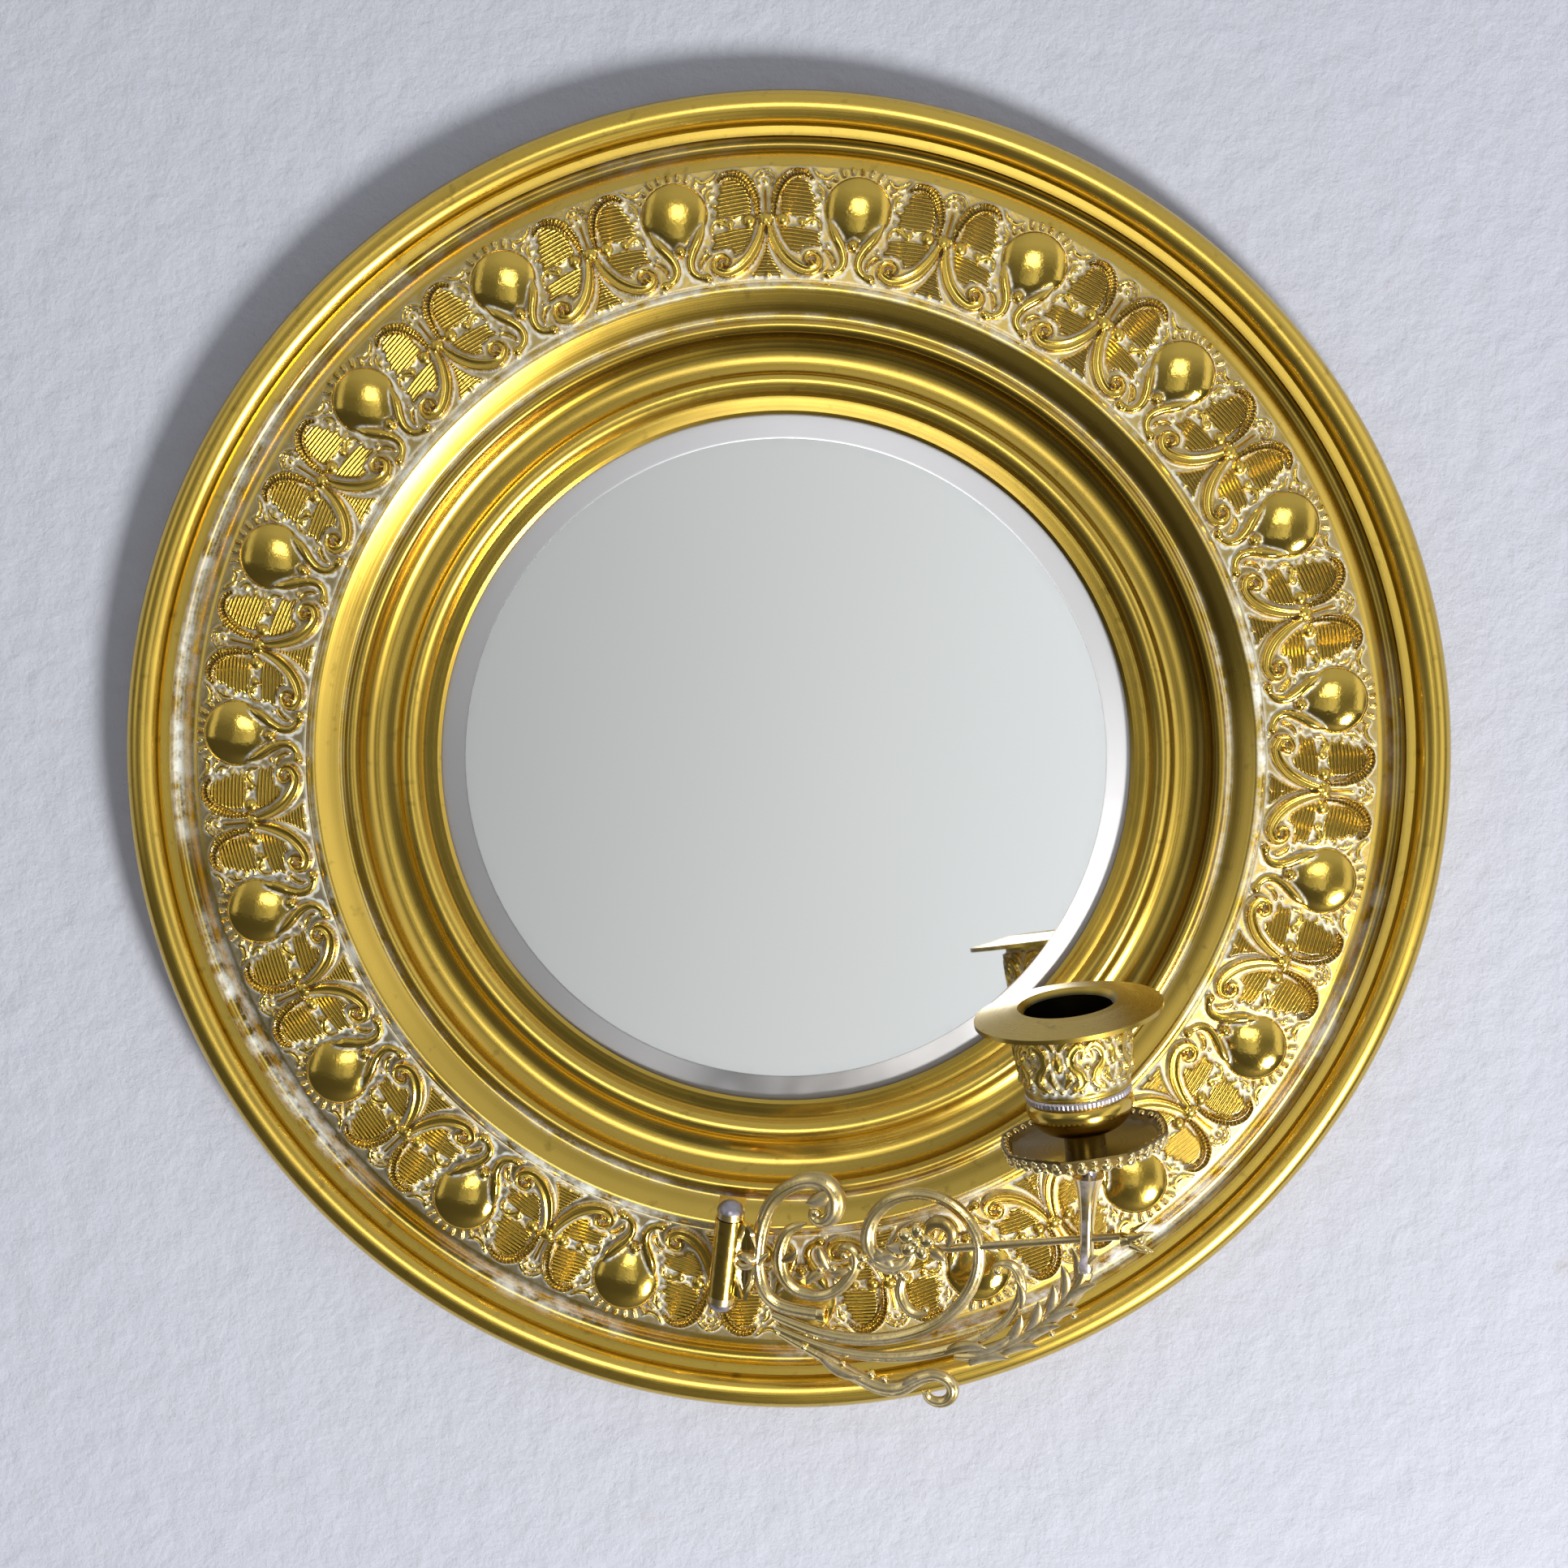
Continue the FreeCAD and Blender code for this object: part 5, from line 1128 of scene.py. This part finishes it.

# Rings of painted shade, partly tarnish, and of dried polish, partly painted highlight, as (radius in
# metres, level).
PLATE_SHADE_AND_TARNISH = (
    (0.0940, 0.75), (0.0968, 0.6), (0.0978, 0.0), (0.0990, 0.1), (0.1003, 0.3), (0.1020, 0.25),
    (0.1036, 0.0), (0.1056, 0.0), (0.1075, 0.3), (0.1095, 0.6), (0.1112, 0.85), (0.1165, 0.95),
    (0.1176, 0.5), (0.1186, 0.0), (0.1202, 0.05), (0.1211, 0.6), (0.1216, 0.95), (0.1228, 0.7),
    (0.1238, 0.15), (0.1250, 0.0), (0.1630, 0.0), (0.1640, 0.85), (0.1678, 0.85), (0.1690, 0.1),
    (0.1706, 0.4), (0.1722, 0.0))
# Dried polish by the band's inner edge; its first ring, 118.4 to 121 mm, is a painted highlight.
PLATE_POLISH_AND_HIGHLIGHT = ((0.1184, 0.0), (0.1192, 0.35), (0.1204, 0.3), (0.1210, 0.0), (0.1266, 0.0),
                (0.1274, 0.7), (0.1288, 0.9), (0.1296, 0.1), (0.1310, 0.0))
# Dried polish in the outer cove, partly a painted highlight, kept to the lower side.
PLATE_LOW_POLISH_AND_HIGHLIGHT = ((0.1600, 0.0), (0.1614, 0.5), (0.1640, 0.8), (0.1668, 0.7), (0.1676, 0.0))
# Painted shade inside the nozzle's bore.
BORE_SHADE = ((0.0118, 1.0), (0.0124, 0.0))
STEM_POLISH = ((0.0028, 0.0), (0.0035, 0.9), (0.0060, 0.9))
# Painted shadow on the bulb's neck, close to the candle's axis.
NECK_SHADOW = ((0.0060, 1.0), (0.0090, 0.8), (0.0120, 0.0))


def make_finishes(colours):
    brass, pale, dull = colours.brass, colours.pale_brass, colours.dull_brass
    residue, tarnish = colours.residue, colours.tarnish
    candle = (CANDLE.translation, (CANDLE.to_3x3() @ Vector((0, 0, 1))).normalized())
    FINISH.update({
        # Plate: painted shade in the coves, partly tarnish, and pale rings, partly painted highlight.
        "plate": spun_brass("plate_brass", brass, tarnish, *PLATE_AXIS, 0.20, 0.4, PLATE_SHADE_AND_TARNISH,
                            PLATE_POLISH_AND_HIGHLIGHT, PLATE_LOW_POLISH_AND_HIGHLIGHT, residue),
        # Turned pieces: a painted shadow on the bulb's neck.
        "turned": spun_brass("turned_brass", brass, tarnish, *candle, 0.14, shade_and_tarnish=NECK_SHADOW, least=1.0),
        # Nozzle: painted shade in a near black inside its bore.
        "nozzle": spun_brass("nozzle_brass", tuple(c * 0.8 for c in brass), (0.012, 0.018, 0.008),
                             *candle, 0.24, 0.2, BORE_SHADE, least=1.0),
        # Pan: a dark brown copy of brass, painted shade for the dark its top reflects.
        "pan": spun_brass("pan_brass", (0.17, 0.115, 0.035), tarnish, *candle, 0.34, 0.9),
        "stem": spun_brass("stem_brass", pale, tarnish, *candle, 0.14, 0.4, rings=STEM_POLISH,
                           residue=(0.55, 0.51, 0.60)),
        "relief": worked_brass("relief_brass", brass, tarnish, residue),
        "egg": worked_brass("egg_brass", brass, tarnish, residue, 0.5, 0.10),
        "scroll": worked_brass("scroll_brass", pale, tuple(t * 2.0 for t in tarnish),
                               (0.86, 0.83, 0.72), 0.16, 0.10, 380.0, 0.00010, 0.9),
        "barrel": plain_brass("barrel_brass", brass, tarnish, 0.13, 0.08),
        "cast": plain_brass("cast_brass", pale, tarnish, 0.22, 0.35),
        "wire": plain_brass("wire_brass", dull, tarnish, 0.35),
        "ring": plain_brass("bright_ring", (0.62, 0.58, 0.62), (0.45, 0.40, 0.38), 0.25),
        "steel": steel_finish(),
        "mirror": mirror_finish(),
        "paper": paper_finish(),
        "board": board_finish(),
    })


def dress(finish, *names):
    for name in names:
        slots = NODES[name].data.materials
        slots.clear()
        slots.append(FINISH[finish])


# ---------------------------------------------------------------------------------------
# Operators

class GIRANDOLE_OT_finishes(bpy.types.Operator):
    """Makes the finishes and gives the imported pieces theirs"""
    bl_idname = "girandole.finishes"
    bl_label = "Finishes"

    def execute(self, context):
        make_finishes(context.scene.girandole_colours)
        dress("plate", "frame_plate")
        dress("mirror", "mirror_glass")
        dress("paper", "backing_paper")
        dress("board", "backboard")
        dress("wire", "board_clips", "hanger_plate", "hanging_ring")
        dress("steel", "bracket_screws", "bracket_washers", "hinge_pin", "pin_cap", "stack_screw")
        dress("barrel", "arm_knuckle")
        dress("cast", "hinge_bracket", "branch", "rosette", "cross_rod", "rod_finial",
              "upper_scroll", "inner_scroll", "great_scroll", "lower_scroll", "small_curl", "tail_scroll")
        dress("turned", "bulb_collar", "candle_cup")
        dress("nozzle", "candle_nozzle")
        dress("stem", "candle_stem")
        dress("ring", "cup_ring")
        dress("pan", "drip_pan")
        return {"FINISHED"}


class GIRANDOLE_OT_band(bpy.types.Operator):
    """Adds the embossed band and its egg bosses"""
    bl_idname = "girandole.band"
    bl_label = "Embossed band"

    def execute(self, context):
        sizes = context.scene.girandole_sizes
        pitch = 360 / sizes.egg_count
        finish_piece(spun_plate(), "spun_plate", FINISH["plate"], "plate",
                     Matrix.Scale(MM, 4), 30, ("frame_plate",))
        for i, piece in enumerate(repeated(context, band_tile(sizes), sizes.egg_count)):
            turn = Matrix.Rotation(math.radians(sizes.first_egg + (i + 0.5) * pitch), 4, "Y")
            finish_piece(piece, "palmette_%02d" % (i + 1), FINISH["relief"], "plate",
                         Matrix.Scale(MM, 4) @ turn, 80)
        for i, piece in enumerate(repeated(context, egg_boss(sizes), sizes.egg_count)):
            finish_piece(piece, "egg_boss_%02d" % (i + 1), FINISH["egg"], "plate",
                         band_place(sizes.first_egg + i * pitch), 80)
        return {"FINISHED"}


class GIRANDOLE_OT_arm(bpy.types.Operator):
    """Adds the cast scrolls, the branch, the rosette and the crown tip"""
    bl_idname = "girandole.arm"
    bl_label = "Candle arm"

    def execute(self, context):
        for node, (route, widths) in SCROLLS.items():
            piece = dressed_rod(route, widths, BALLS.get(node, ()), LEAVES.get(node, ()))
            finish_piece(piece, node.replace("_", "_cast_"), FINISH["scroll"], "arm",
                         ARM_PLANE, 70, (node,))
        for name, piece, hides in (
                ("branch_acanthus", dressed_rod(*BRANCH, BRANCH_BALLS, BRANCH_LEAVES), ("branch",)),
                ("rosette_flower", rosette(), ("rosette",)),
                ("crown_tip", crown(), ("rod_finial",)),
                ("knuckle_leaf", knuckle_leaf(), ()),
                ("scroll_mouth", scroll_mouth(), ())):
            finish_piece(piece, name, FINISH["scroll"], "arm", ARM_PLANE, 70, hides)
        return {"FINISHED"}


class GIRANDOLE_OT_candle(bpy.types.Operator):
    """Adds the relief of the cup and the drip pan with its border"""
    bl_idname = "girandole.candle"
    bl_label = "Candle cup and pan"

    def execute(self, context):
        sizes = context.scene.girandole_sizes
        finish_piece(cup_relief(sizes), "cup_relief", FINISH["relief"], "arm",
                     CANDLE, smooth=80)
        finish_piece(stem_trumpet(), "stem_trumpet", FINISH["stem"], "arm", ARM, 50,
                     ("candle_stem",))
        finish_piece(drip_pan(sizes), "pan_dish", FINISH["pan"], "arm", CANDLE, 30,
                     ("drip_pan",))
        finish_piece(pan_border(sizes), "pan_border", FINISH["scroll"], "arm", CANDLE)
        finish_piece(ticked_ring(), "ring_ticks", FINISH["ring"], "arm", CANDLE, 30,
                     ("cup_ring",))
        return {"FINISHED"}


# Lamps aimed at the mirror's middle: name, place, size in metres, watts and tint.
LAMPS = (("key", (1.15, -1.35, -1.05), 0.55, 62, (1.0, 0.98, 0.95)),
         ("back", (-0.9, 1.6, 1.0), 1.2, 60, (1.0, 1.0, 1.0)))


class GIRANDOLE_OT_stage(bpy.types.Operator):
    """Adds the wall, the floor, the lamps and the camera"""
    bl_idname = "girandole.stage"
    bl_label = "Stage"

    def execute(self, context):
        sheets = []
        for name, size, at, turns, paint in (
                ("wall", 7.0, (0, 0.0004, 0.9), ((math.pi / 2, "X"),),
                 wall_finish(context.scene.girandole_colours.wall)),
                ("floor", 9.0, (0, 0, -1.5), (), floor_finish())):
            bpy.ops.mesh.primitive_plane_add(size=size)
            sheets.append(placed(added(), at, *turns))
            sheets[-1].name = name
            sheets[-1].data.materials.append(paint)
        for name, at, size, power, tint in LAMPS:
            lamp = bpy.data.lights.new(name, "AREA")
            lamp.shape = "DISK"
            lamp.size, lamp.energy, lamp.color = size, power, tint
            holder = bpy.data.objects.new(name, lamp)
            context.collection.objects.link(holder)
            holder.location = at
            holder.rotation_euler = (-Vector(at)).to_track_quat("-Z", "Y").to_euler()
        make_room(context.scene)
        set_camera(context.scene)
        context.scene.view_settings.view_transform = "Standard"
        return {"FINISHED"}


def make_room(scene):
    """A pale room for the brass to reflect: a bright pane ahead of the mirror, more light from the
    right and above. Lamps' rays see it a little darker, and the camera sees a plain pale ground."""
    nodes = Nodes("room", "worlds", "OutputWorld")
    scene.world = nodes.material
    x, y, z = nodes.add("SeparateXYZ", {"Vector": nodes.add("TexCoord").outputs["Generated"]}).outputs

    def between(axis, low, low_end, high, high_end):
        """1 between two soft edges."""
        return nodes.times(nodes.remap(axis, low, low_end), nodes.remap(axis, high, high_end))

    ahead = nodes.remap(y, -0.5, -0.6)
    glow = nodes.mix(nodes.remap(z, -0.9, -0.1), (0.05, 0.047, 0.043), (0.21, 0.21, 0.22))
    glow = nodes.mix(nodes.remap(z, 0.0, 0.6), glow, (0.62, 0.63, 0.66))
    glow = nodes.mix(nodes.remap(x, -0.1, -0.9, 0.0, 0.45), glow, (0.13, 0.13, 0.13))
    glow = nodes.mix(between(x, 0.60, 0.72, 0.98, 0.86), glow, (1.1, 1.1, 1.1))
    glow = nodes.mix(between(x, -0.66, -0.74, -0.92, -0.84), glow, (0.8, 0.8, 0.8))
    pane = nodes.times(between(x, -0.26, -0.20, 0.24, 0.18), between(z, -0.46, -0.40, 0.36, 0.30))
    sheen = nodes.mix(nodes.remap(x, -0.10, 0.10), (0.44, 0.45, 0.44), (0.92, 0.94, 0.95))
    glow = nodes.mix(nodes.times(pane, ahead), glow, sheen)
    bright = nodes.times(between(x, -0.16, -0.14, 0.16, 0.14), between(z, 0.04, 0.06, 0.36, 0.33))
    glow = nodes.mix(nodes.times(bright, ahead), glow, (5.0, 5.0, 5.0))
    camera, glossy, through = (nodes.add("LightPath").outputs["Is %s Ray" % kind]
                               for kind in ("Camera", "Glossy", "Transmission"))
    glow = nodes.mix(camera, glow, (0.80, 0.80, 0.82))
    seen = nodes.math("MAXIMUM", nodes.math("MAXIMUM", camera, glossy), through)
    ground = nodes.add("Background", {"Color": glow, "Strength": nodes.remap(seen, 0.0, 1.0, 0.8, 1.0)})
    nodes.put(nodes.out.inputs[0], ground.outputs[0])


# The photograph's camera: degrees to the right, up and rolled, the point it looks at in
# millimetres, its distance in metres and its focal length over the picture's width.
CAMERA_ANGLES = (1.278, 6.5, 6.6)
CAMERA_TARGET = (0.454, -12.0, -6.527)
CAMERA_DISTANCE = 1.2
CAMERA_FOCUS = 5452.1 / 1932
SENSOR_WIDTH = 36.0


def set_camera(scene):
    azimuth, elevation, roll = (math.radians(angle) for angle in CAMERA_ANGLES)
    back = Vector((math.sin(azimuth) * math.cos(elevation), -math.cos(azimuth) * math.cos(elevation),
                   math.sin(elevation)))
    data = bpy.data.cameras.new("camera")
    data.sensor_width = SENSOR_WIDTH
    data.lens = CAMERA_FOCUS * SENSOR_WIDTH
    data.clip_start, data.clip_end = 0.05, 50.0
    camera = bpy.data.objects.new("camera", data)
    scene.collection.objects.link(camera)
    camera.location = Vector(CAMERA_TARGET) * MM + back * CAMERA_DISTANCE
    turn = (-back).to_track_quat("-Z", "Y").to_matrix().to_4x4()
    camera.rotation_euler = (turn @ Matrix.Rotation(roll, 4, "Z")).to_euler()
    scene.camera = camera


class GIRANDOLE_PT_panel(bpy.types.Panel):
    bl_idname = "GIRANDOLE_PT_panel"
    bl_label = "Girandole mirror"
    bl_space_type = "VIEW_3D"
    bl_region_type = "UI"
    bl_category = "Girandole"

    def draw(self, context):
        for group in (context.scene.girandole_sizes, context.scene.girandole_colours):
            box = self.layout.box()
            for name in group.__annotations__:
                box.prop(group, name)
        for operator in OPERATORS:
            self.layout.operator(operator.bl_idname)


GROUPS = (GirandoleSizes, GirandoleColours)
OPERATORS = (GIRANDOLE_OT_stage, GIRANDOLE_OT_finishes, GIRANDOLE_OT_band, GIRANDOLE_OT_arm,
             GIRANDOLE_OT_candle)


def register():
    for kind in GROUPS + OPERATORS + (GIRANDOLE_PT_panel,):
        bpy.utils.register_class(kind)
    bpy.types.Scene.girandole_sizes = PointerProperty(type=GirandoleSizes)
    bpy.types.Scene.girandole_colours = PointerProperty(type=GirandoleColours)


def unregister():
    del bpy.types.Scene.girandole_colours
    del bpy.types.Scene.girandole_sizes
    for kind in reversed(GROUPS + OPERATORS + (GIRANDOLE_PT_panel,)):
        bpy.utils.unregister_class(kind)


def main():
    register()
    bpy.ops.girandole.stage()
    bpy.ops.girandole.finishes()
    bpy.ops.girandole.band()
    bpy.ops.girandole.arm()
    bpy.ops.girandole.candle()


if __name__ == "__main__":
    main()
